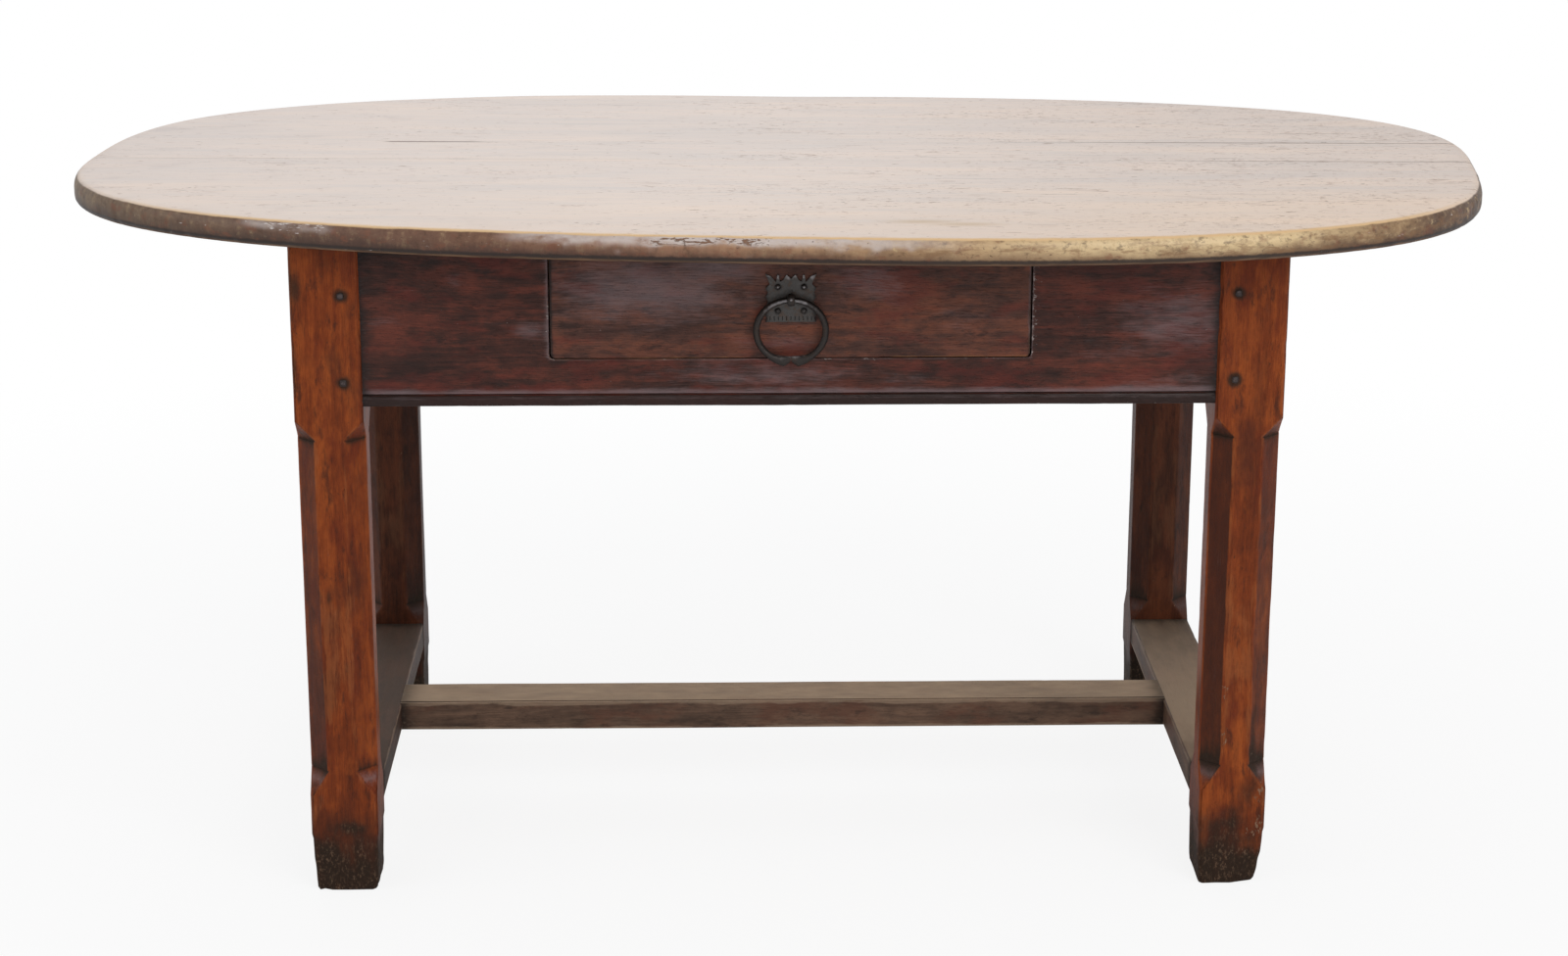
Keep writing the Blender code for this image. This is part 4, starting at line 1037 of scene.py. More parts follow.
class Relief:
    """Smooth repeatable noise over points in space."""

    CELLS = 32

    def __init__(self, seed: int) -> None:
        """Draw the values of a lattice that repeats.

        Args:
            seed: Number of the pattern.
        """
        shape = (self.CELLS,) * 3
        self.lattice = np.random.default_rng(seed).uniform(-1, 1, shape)

    def at(self, points: Array, *size: float) -> Array:
        """Noise at each point.

        Args:
            points: Points, three numbers each.
            size: Width of a cell, once or for each of the three directions, in metres.

        Returns:
            Values from -1 to 1, one for each point.
        """
        cell = points / np.asarray(size)
        base = np.floor(cell).astype(int)
        part = cell - base
        part = part * part * (3 - 2 * part)
        total = np.zeros(points.shape[:-1])
        for corner in np.ndindex(2, 2, 2):
            weight = np.prod(np.where(corner, part, 1 - part), axis=-1)
            index = np.moveaxis((base + corner) % self.CELLS, -1, 0)
            total += weight * self.lattice[tuple(index)]
        return total


def ease(low: float, high: float, value: Array) -> Array:
    """Go smoothly from 0 at the low value to 1 at the high one."""
    share = np.clip((value - low) / (high - low), 0, 1)
    return share * share * (3 - 2 * share)


def lines(low: float, high: float, step: float, *more: float) -> Array:
    """Places for the lines of a grid.

    Args:
        low: First line.
        high: Last line.
        step: Widest distance between two lines.
        more: Further lines that the grid must have.

    Returns:
        The places in order, with those that nearly coincide left out.
    """
    count = max(2, math.ceil((high - low) / step) + 1)
    fixed = sorted({low, high, *(place for place in more if low < place < high)})
    kept = list(fixed)
    for place in np.linspace(low, high, count):
        if min(abs(place - other) for other in fixed) > step * 0.3:
            kept.append(float(place))
    return np.array(sorted(kept))


def plus(value: Array) -> Array:
    """The value where it is above 0, and 0 elsewhere."""
    return np.clip(value, 0, None)


def band(value: Array, middle: float, reach: float) -> Array:
    """1 at the middle value, fading away on both sides."""
    return np.exp(-np.abs(value - middle) / reach)


def turns(count: int) -> Array:
    """Angles at even steps once round."""
    return np.linspace(0, math.tau, count, endpoint=False)


def stacked(*parts: Array | float) -> Array:
    """Points from their coordinates, of which a plain number counts for all points."""
    return np.stack(np.broadcast_arrays(*parts), axis=-1)


def moved(points: Array, frame: Matrix) -> Array:
    """Points turned and shifted by a frame."""
    turn = np.array(frame)
    return points @ turn[:3, :3].T + turn[:3, 3]


def bloom(along: Array, across: Array, *patches: tuple[float, ...]) -> Array:
    """Soft patches on a board's face.

    Args:
        along: Place of each point along the board.
        across: Place across it.
        patches: Middle, half sizes and strength of each patch.

    Returns:
        The strength at each point.
    """
    total = np.zeros(along.shape)
    for u, v, half_u, half_v, strength in patches:
        away = ((along - u) / half_u) ** 2 + ((across - v) / half_v) ** 2
        total = np.maximum(total, strength * np.exp(-away))
    return total


class Skin:
    """Points, faces and marks of one piece, gathered before its mesh is made."""

    MARKS = ("wear", "soil", "scuffs", "haze", "shade")

    def __init__(self) -> None:
        """Start empty."""
        self.points: list[Array] = []
        self.faces: list[tuple[int, ...]] = []
        self.marks: dict[str, list[Array]] = {mark: [] for mark in self.MARKS}
        self.count = 0

    def add(self, points: Array, **marks: Array | float) -> Array:
        """Add points.

        Args:
            points: Points in the piece's own frame, three numbers each.
            marks: Value of each mark, for all or for each point; 0 where it is left out.

        Returns:
            The numbers of the points, in the shape that they came in.
        """
        shape = points.shape[:-1]
        size = int(np.prod(shape))
        self.points.append(points.reshape(-1, 3))
        for mark in self.MARKS:
            value = np.broadcast_to(marks.get(mark, 0.0), shape)
            self.marks[mark].append(np.array(value, float).reshape(-1))
        index = np.arange(self.count, self.count + size).reshape(shape)
        self.count += size
        return index

    def sheet(self, index: Array, present: Array | None = None) -> None:
        """Add the faces of a grid.

        Args:
            index: Numbers of the points, row by row.
            present: Which cells have a face; all if left out.
        """
        quads = np.stack(
            [index[:-1, :-1], index[1:, :-1], index[1:, 1:], index[:-1, 1:]], axis=-1
        )
        quads = quads.reshape(-1, 4) if present is None else quads[present]
        self.faces.extend(map(tuple, quads.tolist()))

    def wrap(self, index: Array) -> None:
        """Add the faces of a grid whose rows close on themselves."""
        self.sheet(np.concatenate([index, index[:, :1]], axis=1))

    def cap(self, *rings: Array) -> None:
        """Close each ring with one face."""
        self.faces.extend(tuple(ring.tolist()) for ring in rings)

    def tube(self, rings: Array | list[Array]) -> None:
        """Join rings of points one after another, and close the first and the last."""
        self.wrap(np.array(rings))
        self.cap(rings[0], rings[-1])

    def mesh(self, name: str, place: Matrix, lay: Matrix, sharp: float = 32.0) -> Piece:
        """Make the object.

        Args:
            name: Name of the piece.
            place: Where the piece's own frame is in the part's frame.
            lay: Turns a point of the piece's own frame into its place in the plank.
            sharp: Edges that turn by more than this stay crisp, in degrees.

        Returns:
            The object, with its place in its vertices.
        """
        own = np.concatenate(self.points)
        mesh = bpy.data.meshes.new(name)
        mesh.from_pydata(moved(own, place).tolist(), [], self.faces)
        layer = mesh.attributes.new("lay", "FLOAT_VECTOR", "POINT")
        layer.data.foreach_set("vector", moved(own, lay).astype(np.float32).ravel())
        for mark, values in self.marks.items():
            layer = mesh.attributes.new(mark, "FLOAT", "POINT")
            layer.data.foreach_set("value", np.concatenate(values).astype(np.float32))
        return finish_mesh(mesh, name, sharp)


def link(name: str, data: bpy.types.ID) -> Piece:
    """Make an object of a mesh, a light or a camera, and put it in the scene.

    Args:
        name: Name of the object.
        data: What it shows.

    Returns:
        The object.
    """
    made = bpy.data.objects.new(name, data)
    bpy.context.scene.collection.objects.link(made)
    return made


def finish_mesh(mesh: bpy.types.Mesh, name: str, sharp: float = 32.0) -> Piece:
    """Turn a mesh's faces outward, smooth it and link its object.

    Args:
        mesh: The mesh.
        name: Name of the piece.
        sharp: Edges that turn by more than this stay crisp, in degrees.

    Returns:
        The object.
    """
    bm = bmesh.new()
    bm.from_mesh(mesh)
    bmesh.ops.recalc_face_normals(bm, faces=bm.faces)
    bm.to_mesh(mesh)
    bm.free()
    mesh.validate()
    mesh.shade_smooth()
    mesh.set_sharp_from_angle(angle=math.radians(sharp))
    return link(name, mesh)


def upright(distance: float, height: float) -> Matrix:
    """Frame of a board at the front, X along it, Y up from a height and Z inward."""
    return Matrix(((1, 0, 0, 0), (0, 0, 1, -distance), (0, 1, 0, height), (0, 0, 0, 1)))


def plank_lay(turn: str, seed: int) -> Matrix:
    """Matrix from a piece's own axes to along, across and through a plank.

    Args:
        turn: Which own axis runs along, across and through, such as "XYZ".
        seed: Number of the piece, which moves it to a place of its own in the wood.

    Returns:
        The matrix.
    """
    rows = [[1.0 if letter == axis else 0.0 for axis in "XYZ"] for letter in turn]
    shift = (seed * 1.37 % 7, seed * 0.61 % 5, seed * 0.29 % 3)
    return Matrix([[*row, move] for row, move in zip(rows, shift)] + [[0, 0, 0, 1]])


def settle(piece: Piece, material: Material, slot: str, body: str, *nodes: str) -> None:
    """Give a piece its finish and its place in the part.

    Args:
        piece: The piece.
        material: Its finish.
        slot: Slot of the record that the finish belongs to; not used.
        body: Body that the piece moves with.
        nodes: Nodes of the part that the piece stands for.
    """
    piece.data.materials.clear()
    piece.data.materials.append(material)
    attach(piece, body)
    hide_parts(*nodes)
    log.info("%s: %d faces, stands for %s", piece.name, len(piece.data.polygons), nodes)


@dataclass
class Plank:
    """A sawn board with hand-planed faces and worn arrises.

    Its own frame has X along the grain, Y across the face and Z through the thickness,
    with the show face at 0. Wear only takes wood away, so it stays inside its solid.

    Attributes:
        name: Name of the piece.
        length: Length along the grain, centred on 0.
        width: Width across, from 0.
        thickness: Thickness, from 0.
        place: Where the board's own frame is in the part's frame.
        seed: Number of the piece, for its relief and its place in the wood.
        arris: Usual radius of the long arrises.
        end_arris: Radius of the end arrises.
        step: Widest distance between two lines of its grid.
        wavy: Depth of the planing marks.
        worn: How strongly the arrises show wear, 0 to 1.
        knocked: How many chips its arrises show, 0 to 1.
        rub_reach: How far from an arris the wax is rubbed, in metres.
        bruised: How deep the bruises of its long arrises go, 1 for the usual depth.
        soiled: How far from an end dirt reaches, in metres.
        dusk: Painted shadow towards its two ends, 0 to 1.
    """

    FINE = (HAIR, 0.0008, 0.0016, 0.003, 0.006)

    name: str
    length: float
    width: float
    thickness: float
    place: Matrix
    seed: int
    arris: float = 0.0012
    end_arris: float = HAIR
    step: float = 0.006
    wavy: float = 0.0004
    worn: float = 1.0
    knocked: float = 0.4
    rub_reach: float = 0.0032
    bruised: float = 1.0
    soiled: float = 0.0035
    dusk: tuple[float, float] = (0.0, 0.0)
    noise: Relief = field(init=False)

    def __post_init__(self) -> None:
        """Draw the board's own relief."""
        self.noise = Relief(self.seed)

    def along_lines(self) -> Array:
        """Lines of the grid along the board."""
        fine = [sign * (self.length / 2 - gap) for gap in self.FINE for sign in (-1, 1)]
        return lines(-self.length / 2, self.length / 2, self.step, *fine)

    def across_lines(self) -> Array:
        """Lines of the grid across the board."""
        far = (self.width - gap for gap in self.FINE)
        return lines(0, self.width, self.step, *self.FINE, *far)

    def present(self, along: Array, across: Array) -> Array:
        """Which cells of the grid are wood, by the place of their middles."""
        return np.ones(along.shape, bool)

    def edge_distance(self, along: Array, across: Array) -> Array:
        """Distance to the nearest long arris."""
        return np.minimum(across, self.width - across)

    def end_distance(self, along: Array, across: Array) -> Array:
        """Distance to the nearest end."""
        return self.length / 2 - np.abs(along)

    def shape(self, along: Array, across: Array) -> tuple[Array, Array]:
        """Move points within the face, for corners that are not square."""
        return along, across

    def show_relief(self, along: Array, across: Array) -> Array:
        """Depth of what is worked into the show face."""
        return np.zeros(along.shape)

    def show_marks(self, along: Array, across: Array) -> dict[str, Array]:
        """Marks that the show face has beside those that every face has."""
        # Painted shadow along the board from dusk, through the shade mark.
        ends = (-self.length / 2, self.length / 2)
        return {"shade": np.interp(along, ends, self.dusk)}

    def rounding(self, distance: Array, radius: Array) -> Array:
        """Depth of a rounded arris at a distance from it."""
        inside = plus(radius - distance)
        return radius - np.sqrt(plus(radius * radius - inside * inside))

    def face(self, along: Array, across: Array, back: bool) -> tuple[Array, Array, Array]:
        """Depth and marks of one face.

        Args:
            along: Place of each point along the board.
            across: Place across it.
            back: Whether it is the hidden face.

        Returns:
            Depth below the sawn face, wear and scuffs.
        """
        flat = stacked(along, across, 0.9 if back else 0.0)
        edge = self.edge_distance(along, across)
        end = self.end_distance(along, across)
        bruise = plus(self.noise.at(flat, 0.016, 0.03, 1)) ** 3
        swell = self.noise.at(flat + 5, 0.11, 0.5, 1)
        radius = self.arris * (1.15 + 0.55 * swell) + bruise * self.arris * 2.2 * self.bruised
        depth = np.maximum(
            self.rounding(edge, radius),
            self.rounding(end, np.full(along.shape, self.end_arris)),
        )
        planed = 0.5 + 0.5 * self.noise.at(flat + 9, 0.24, 0.034, 1)
        depth = depth + planed * self.wavy
        wear = np.exp(-edge / self.rub_reach) * (0.75 + 0.35 * swell) * self.worn
        scuffs = np.exp(-edge / 0.004) * self.knocked
        return depth, wear, scuffs

    def build(self) -> Piece:
        """Make the mesh.

        Returns:
            The object, not yet fitted to the part.
        """
        skin = Skin()
        along, across = np.meshgrid(self.along_lines(), self.across_lines(), indexing="ij")
        middle_u = (along[:-1, :-1] + along[1:, 1:]) / 2
        middle_v = (across[:-1, :-1] + across[1:, 1:]) / 2
        wood = self.present(middle_u, middle_v)
        soil = np.exp(-self.end_distance(along, across) / max(self.soiled, 1e-4))
        u, v = self.shape(along, across)
        wobble = self.wobble(along, across)
        sheets = []
        for back in (False, True):
            depth, wear, scuffs = self.face(along, across, back)
            marks = {"wear": wear, "soil": soil, "scuffs": scuffs}
            if not back:
                depth = depth + self.show_relief(along, across)
                for mark, more in self.show_marks(along, across).items():
                    marks[mark] = marks.get(mark, 0.0) + more
            points = stacked(u, v + wobble, self.thickness - depth if back else depth)
            sheets.append((points, skin.add(points, **marks)))
            skin.sheet(sheets[-1][1], wood)
        self._walls(skin, wood, sheets, soil)
        return skin.mesh(self.name, self.place, plank_lay("XYZ", self.seed))

    def wobble(self, along: Array, across: Array) -> Array:
        """Small waves of the long edges, always inward.

        Args:
            along: Place of each point along the board.
            across: Place across it.

        Returns:
            How far each point is moved across.
        """
        line = stacked(along, 0.0, 0.0)
        low = np.clip(0.5 + 0.5 * self.noise.at(line + 3, 0.13, 1, 1), 0, 1)
        high = np.clip(0.5 + 0.5 * self.noise.at(line + 13, 0.17, 1, 1), 0, 1)
        near = np.exp(-across / 0.03) * low
        far = np.exp(-(self.width - across) / 0.03) * high
        return (near - far) * self.wavy * 1.2

    def _walls(
        self, skin: Skin, wood: Array, sheets: list[tuple[Array, Array]], soil: Array
    ) -> None:
        """Close the board between its two faces, along every edge of the wood.

        Args:
            skin: The skin being built.
            wood: Which cells are wood.
            sheets: Points and numbers of the show face and the back face.
            soil: Dirt at each point of the grid.
        """
        (front, front_index), (rear, rear_index) = sheets
        shares = (0.12, 0.5, 0.88)
        columns: dict[tuple[int, int], list[int]] = {}

        def column(i: int, j: int) -> list[int]:
            """Numbers of the points through the thickness at one place.

            Args:
                i: Line along the board.
                j: Line across it.

            Returns:
                The numbers, from the show face to the back face.
            """
            if (i, j) not in columns:
                inner = []
                for share in shares:
                    point = front[i, j] * (1 - share) + rear[i, j] * share
                    made = skin.add(point[None], wear=0.10 * self.worn, soil=soil[i, j])
                    inner.append(int(made[0]))
                columns[i, j] = [int(front_index[i, j]), *inner, int(rear_index[i, j])]
            return columns[i, j]

        padded = np.pad(wood, 1)
        for i, j in zip(*np.nonzero(wood)):
            sides = (
                (padded[i, j + 1], (i, j), (i, j + 1)),
                (padded[i + 2, j + 1], (i + 1, j), (i + 1, j + 1)),
                (padded[i + 1, j], (i, j), (i + 1, j)),
                (padded[i + 1, j + 2], (i, j + 1), (i + 1, j + 1)),
            )
            for neighbour, start, stop in sides:
                if neighbour:
                    continue
                first, second = column(*start), column(*stop)
                for k in range(len(first) - 1):
                    skin.faces.append((first[k], second[k], second[k + 1], first[k + 1]))


@dataclass
class BeadedApron(Plank):
    """An apron with a quirked bead along its lower edge.

    Attributes:
        bead: Height of the bead with its quirk.
        quirk: Width of the quirk.
        quirk_depth: Depth of the quirk.
    """

    bead: float = 0.0145
    quirk: float = 0.0020
    quirk_depth: float = 0.0015

    def across_lines(self) -> Array:
        """Lines of the grid across the board, close together over the bead.

        Returns:
            The places.
        """
        start = self.bead - self.quirk
        moulding = [start * share for share in (0.1, 0.2, 0.32, 0.45, 0.58, 0.7, 0.8, 0.9, 0.96)]
        groove = [start + self.quirk * share for share in (0, 0.25, 0.5, 0.75, 1, 1.2, 1.7)]
        fine = [self.width - gap for gap in self.FINE]
        return lines(0, self.width, self.step, HAIR, *moulding, *groove, *fine)

    def edge_distance(self, along: Array, across: Array) -> Array:
        """Distance to the nearest arris, the bead's own rounding left to its relief."""
        return np.minimum(across + HAIR, self.width - across)

    def show_relief(self, along: Array, across: Array) -> Array:
        """Depth of the bead and its quirk.

        Args:
            along: Place of each point along the board.
            across: Place across it.

        Returns:
            The depth.
        """
        start = self.bead - self.quirk
        line = stacked(along, 0.0, 0.0)
        rough = 1 + 0.25 * self.noise.at(line + 17, 0.04, 1, 1)
        middle = start * 0.52
        lean = np.clip(np.abs(across - middle) / middle, 0, 1)
        rounded = (1 - np.sqrt(plus(1 - lean**2.6))) * 0.0030 * rough
        moulding = np.where(across < start, rounded, 0)
        share = np.clip((across - start) / self.quirk, 0, 1)
        groove = plus(1 - np.abs(share * 2 - 1)) ** 0.7
        cut = np.where((across >= start) & (across <= self.bead), groove, 0)
        return moulding + cut * self.quirk_depth * rough

    def show_marks(self, along: Array, across: Array) -> dict[str, Array]:
        """Dirt in the quirk, painted shade under the top, a dark bead, chipped arrises and painted
        highlights.

        Args:
            along: Place of each point along the board.
            across: Place across it.

        Returns:
            Values of each mark.
        """
        groove = band(across, self.bead - self.quirk / 2, 0.0006)
        # Painted shade under the top.
        under = band(across, self.width, 0.006) * 0.9
        # Painted highlights above the quirk, at the lower edge and on the bead's crown.
        above = band(across - self.bead, 0.0008, 0.0011)
        lower = band(across, 0.0006, 0.0009)
        crown = band(across, self.bead * 0.62, 0.0013)
        return {
            "soil": groove + under,
            "shade": (across < self.bead - self.quirk) * 1.0,
            "scuffs": band(across, 0.0008, 0.0010) * 0.5,
            "haze": above * 1.5 + lower * 0.5 + crown * 0.45,
        }


@dataclass
class DrawerApron(BeadedApron):
    """The front apron, with the opening for the drawer sawn down from its upper edge.

    Attributes:
        opening_half: Half the width of the opening.
        opening_floor: Height of its floor above the board's lower edge.
        fillet: Radius of its lower corners.
    """

    opening_half: float = 0.2565
    opening_floor: float = 0.052
    fillet: float = 0.0045

    def along_lines(self) -> Array:
        """Lines of the grid along the board, close together beside the opening.

        Returns:
            The places.
        """
        half = self.length / 2
        fine = []
        for sign in (-1, 1):
            fine += [sign * (half - gap) for gap in self.FINE]
            fine += [sign * (self.opening_half + gap) for gap in (0, *self.FINE)]
            fine += [sign * (self.opening_half - gap) for gap in (0.0022, 0.0044, 0.0065)]
        return lines(-half, half, self.step, *fine)

    def across_lines(self) -> Array:
        """Lines of the grid across the board, close together under the opening.

        Returns:
            The places.
        """
        below = [self.opening_floor - gap for gap in (0, *self.FINE)]
        above = [self.opening_floor + gap for gap in (0.0022, 0.0044, 0.0065)]
        base = super().across_lines()
        kept = [one for one in base if min(abs(one - two) for two in below + above) > 0.0012]
        return np.array(sorted([*kept, *below, *above]))

    def present(self, along: Array, across: Array) -> Array:
        """Wood everywhere but in the opening."""
        return (np.abs(along) > self.opening_half) | (across < self.opening_floor)

    def edge_distance(self, along: Array, across: Array) -> Array:
        """Distance to the nearest long arris, those of the opening among them.

        Args:
            along: Place of each point along the board.
            across: Place across it.

        Returns:
            The distance.
        """
        beside = plus(np.abs(along) - self.opening_half)
        below = plus(self.opening_floor - across)
        inner = np.hypot(beside, below)
        return np.minimum(super().edge_distance(along, across), inner)

    def shape(self, along: Array, across: Array) -> tuple[Array, Array]:
        """Move the opening's edge on to the arcs of its lower corners.

        Args:
            along: Place of each point along the board.
            across: Place across it.

        Returns:
            The moved places.
        """
        u, v = along.copy(), across.copy()
        sign = np.sign(along)
        beside = np.abs(np.abs(along) - self.opening_half) < 1e-6
        climb = across - self.opening_floor
        wall = beside & (climb >= -1e-6) & (climb < self.fillet)
        inward = self.opening_half - np.abs(along)
        floor = (np.abs(climb) < 1e-6) & (inward > 1e-6) & (inward < self.fillet)
        for chosen, run, upright in ((wall, climb, True), (floor, inward, False)):
            angle = (1 - np.clip(run[chosen] / self.fillet, 0, 1)) * math.pi / 4
            near = self.fillet * (1 - np.cos(angle))
            far = self.fillet * (1 - np.sin(angle))
            aside, lift = (near, far) if upright else (far, near)
            u[chosen] = sign[chosen] * (self.opening_half - aside)
            v[chosen] = self.opening_floor + lift
        return u, v

    def show_marks(self, along: Array, across: Array) -> dict[str, Array]:
        """Knocks and painted sheen down the opening's upright edges, and painted sheen in patches.

        Args:
            along: Place of each point along the board.
            across: Place across it.

        Returns:
            Values of each mark.
        """
        knocked = self._beside(along, across, 0.0022)
        struck = self._beside(along, across, 0.0050) * (along > 0) * 1.7
        # Painted sheen down the opening's upright edges, and in patches.
        left = self._beside(along, across, 0.0030) * (along < 0) * 1.15
        right = self._beside(along, across, 0.0010) * (along > 0) * 1.3
        patches = bloom(
            along, across,
            (-0.277, 0.086, 0.018, 0.010, 0.8), (-0.355, 0.138, 0.012, 0.012, 0.5),
            (-0.430, 0.092, 0.020, 0.006, 0.5), (0.415, 0.092, 0.070, 0.034, 0.75),
            (0.350, 0.060, 0.050, 0.016, 0.45), (0.400, 0.024, 0.060, 0.010, 0.45),
            (-0.030, 0.034, 0.110, 0.013, 0.70), (0.110, 0.030, 0.050, 0.010, 0.40),
        )
        marks = super().show_marks(along, across)
        marks["scuffs"] = marks["scuffs"] + np.maximum(knocked, struck)
        marks["haze"] = marks["haze"] + left + right + patches
        return marks

    def _beside(self, along: Array, across: Array, reach: float) -> Array:
        """A band that fades away from the opening's upright edges.

        Args:
            along: Place of each point along the board.
            across: Place across it.
            reach: How far it reaches.

        Returns:
            Its strength.
        """
        beside = plus(np.abs(along) - self.opening_half)
        high = ease(self.opening_floor - 0.004, self.opening_floor + 0.004, across)
        return np.exp(-beside / reach) * high


@dataclass
class DrawerFront(Plank):
    """The drawer's front board, with worn, rounded lower corners.

    Attributes:
        corner: Radius of the lower corners.
    """

    corner: float = 0.005

    def along_lines(self) -> Array:
        """Lines of the grid along the board, close together over the corners.

        Returns:
            The places.
        """
        half = self.length / 2
        gaps = (*self.FINE[:-1], self.corner, 0.008)
        fine = [half - gap for gap in gaps] + [gap - half for gap in gaps]
        return lines(-half, half, self.step, *fine)

    def across_lines(self) -> Array:
        """Lines of the grid across the board, close together over the corners."""
        gaps = (*self.FINE[:-1], self.corner, 0.008)
        return lines(0, self.width, self.step, *gaps, *(self.width - gap for gap in self.FINE))

    def edge_distance(self, along: Array, across: Array) -> Array:
        """Distance to the nearest arris, all round."""
        sides = np.minimum(across, self.width - across)
        return np.minimum(sides, self.length / 2 - np.abs(along))

    def shape(self, along: Array, across: Array) -> tuple[Array, Array]:
        """Pull the square lower corners into round ones.

        Args:
            along: Place of each point along the board.
            across: Place across it.

        Returns:
            The moved places.
        """
        centre_u = self.length / 2 - self.corner
        over = plus(np.abs(along) - centre_u)
        under = plus(self.corner - across)
        square = np.maximum(over, under)
        round_off = np.hypot(over, under)
        factor = np.where(round_off > 0, square / np.where(round_off > 0, round_off, 1), 1)
        u = np.where(over > 0, np.sign(along) * (centre_u + over * factor), along)
        v = np.where(under > 0, self.corner - under * factor, across)
        return u, v

    def show_marks(self, along: Array, across: Array) -> dict[str, Array]:
        """Painted shade under the top, dirt along the gap, knocks left of the pull, and painted
        sheen.

        Args:
            along: Place of each point along the board.
            across: Place across it.

        Returns:
            Values of each mark.
        """
        half = self.length / 2
        # Painted shade under the top.
        under = band(across, self.width, 0.007) * 0.7
        side = band(np.abs(along), half, 0.0012) * 0.7
        knocks = bloom(
            along, across,
            (-0.171, 0.114, 0.007, 0.004, 1.8), (-0.128, 0.117, 0.010, 0.003, 1.6),
            (-0.112, 0.112, 0.005, 0.004, 1.2), (0.010, 0.030, 0.010, 0.004, 1.2),
        )
        # Painted highlight down the right edge, and painted sheen in patches.
        right = band(along, half, 0.0017) * 2.2 * ease(0.012, 0.030, across)
        haze = right + bloom(
            along, across,
            (-0.150, 0.076, 0.100, 0.036, 1.00), (-0.085, 0.098, 0.080, 0.020, 0.85),
            (0.085, 0.082, 0.050, 0.026, 0.60), (0.020, 0.114, 0.120, 0.008, 0.95),
            (-0.120, 0.117, 0.050, 0.004, 0.90), (-0.030, 0.098, 0.020, 0.012, 0.60),
            (-0.010, 0.018, 0.090, 0.012, 0.40), (0.180, 0.040, 0.040, 0.020, 0.35),
        )
        marks = {"soil": under + side * (along < 0), "scuffs": knocks, "haze": haze}
        return super().show_marks(along, across) | marks


@dataclass
class ScratchedStretcher(Plank):
    """The long stretcher, its upper face scratched with a line near the front arris.

    Attributes:
        inset: Distance of the scratch from the front arris.
        scratch: Width of the scratch.
        scratch_depth: Its depth.
    """

    inset: float = 0.0052
    scratch: float = 0.0030
    scratch_depth: float = 0.0021

    def across_lines(self) -> Array:
        """Lines of the grid across the board, close together over the scratch.

        Returns:
            The places.
        """
        cut = [self.inset + self.scratch * share for share in (-0.5, -0.25, 0, 0.25, 0.5, 1)]
        cut += [*self.FINE[:4], *(self.width - gap for gap in self.FINE)]
        return lines(0, self.width, self.step, *cut)

    def show_relief(self, along: Array, across: Array) -> Array:
        """Depth of the scratch."""
        share = np.clip(1 - np.abs(across - self.inset) / (self.scratch / 2), 0, 1)
        return share**0.8 * self.scratch_depth

    def show_marks(self, along: Array, across: Array) -> dict[str, Array]:
        """Dirt in the scratch, and a rubbed line between it and the arris.

        Args:
            along: Place of each point along the board.
            across: Place across it.

        Returns:
            Values of each mark.
        """
        soil = band(across, self.inset, 0.0011) * 1.3
        rubbed = band(across, 0.0018, 0.0016) * 0.1
        return super().show_marks(along, across) | {"soil": soil, "scuffs": rubbed}


# Sub-assemblies


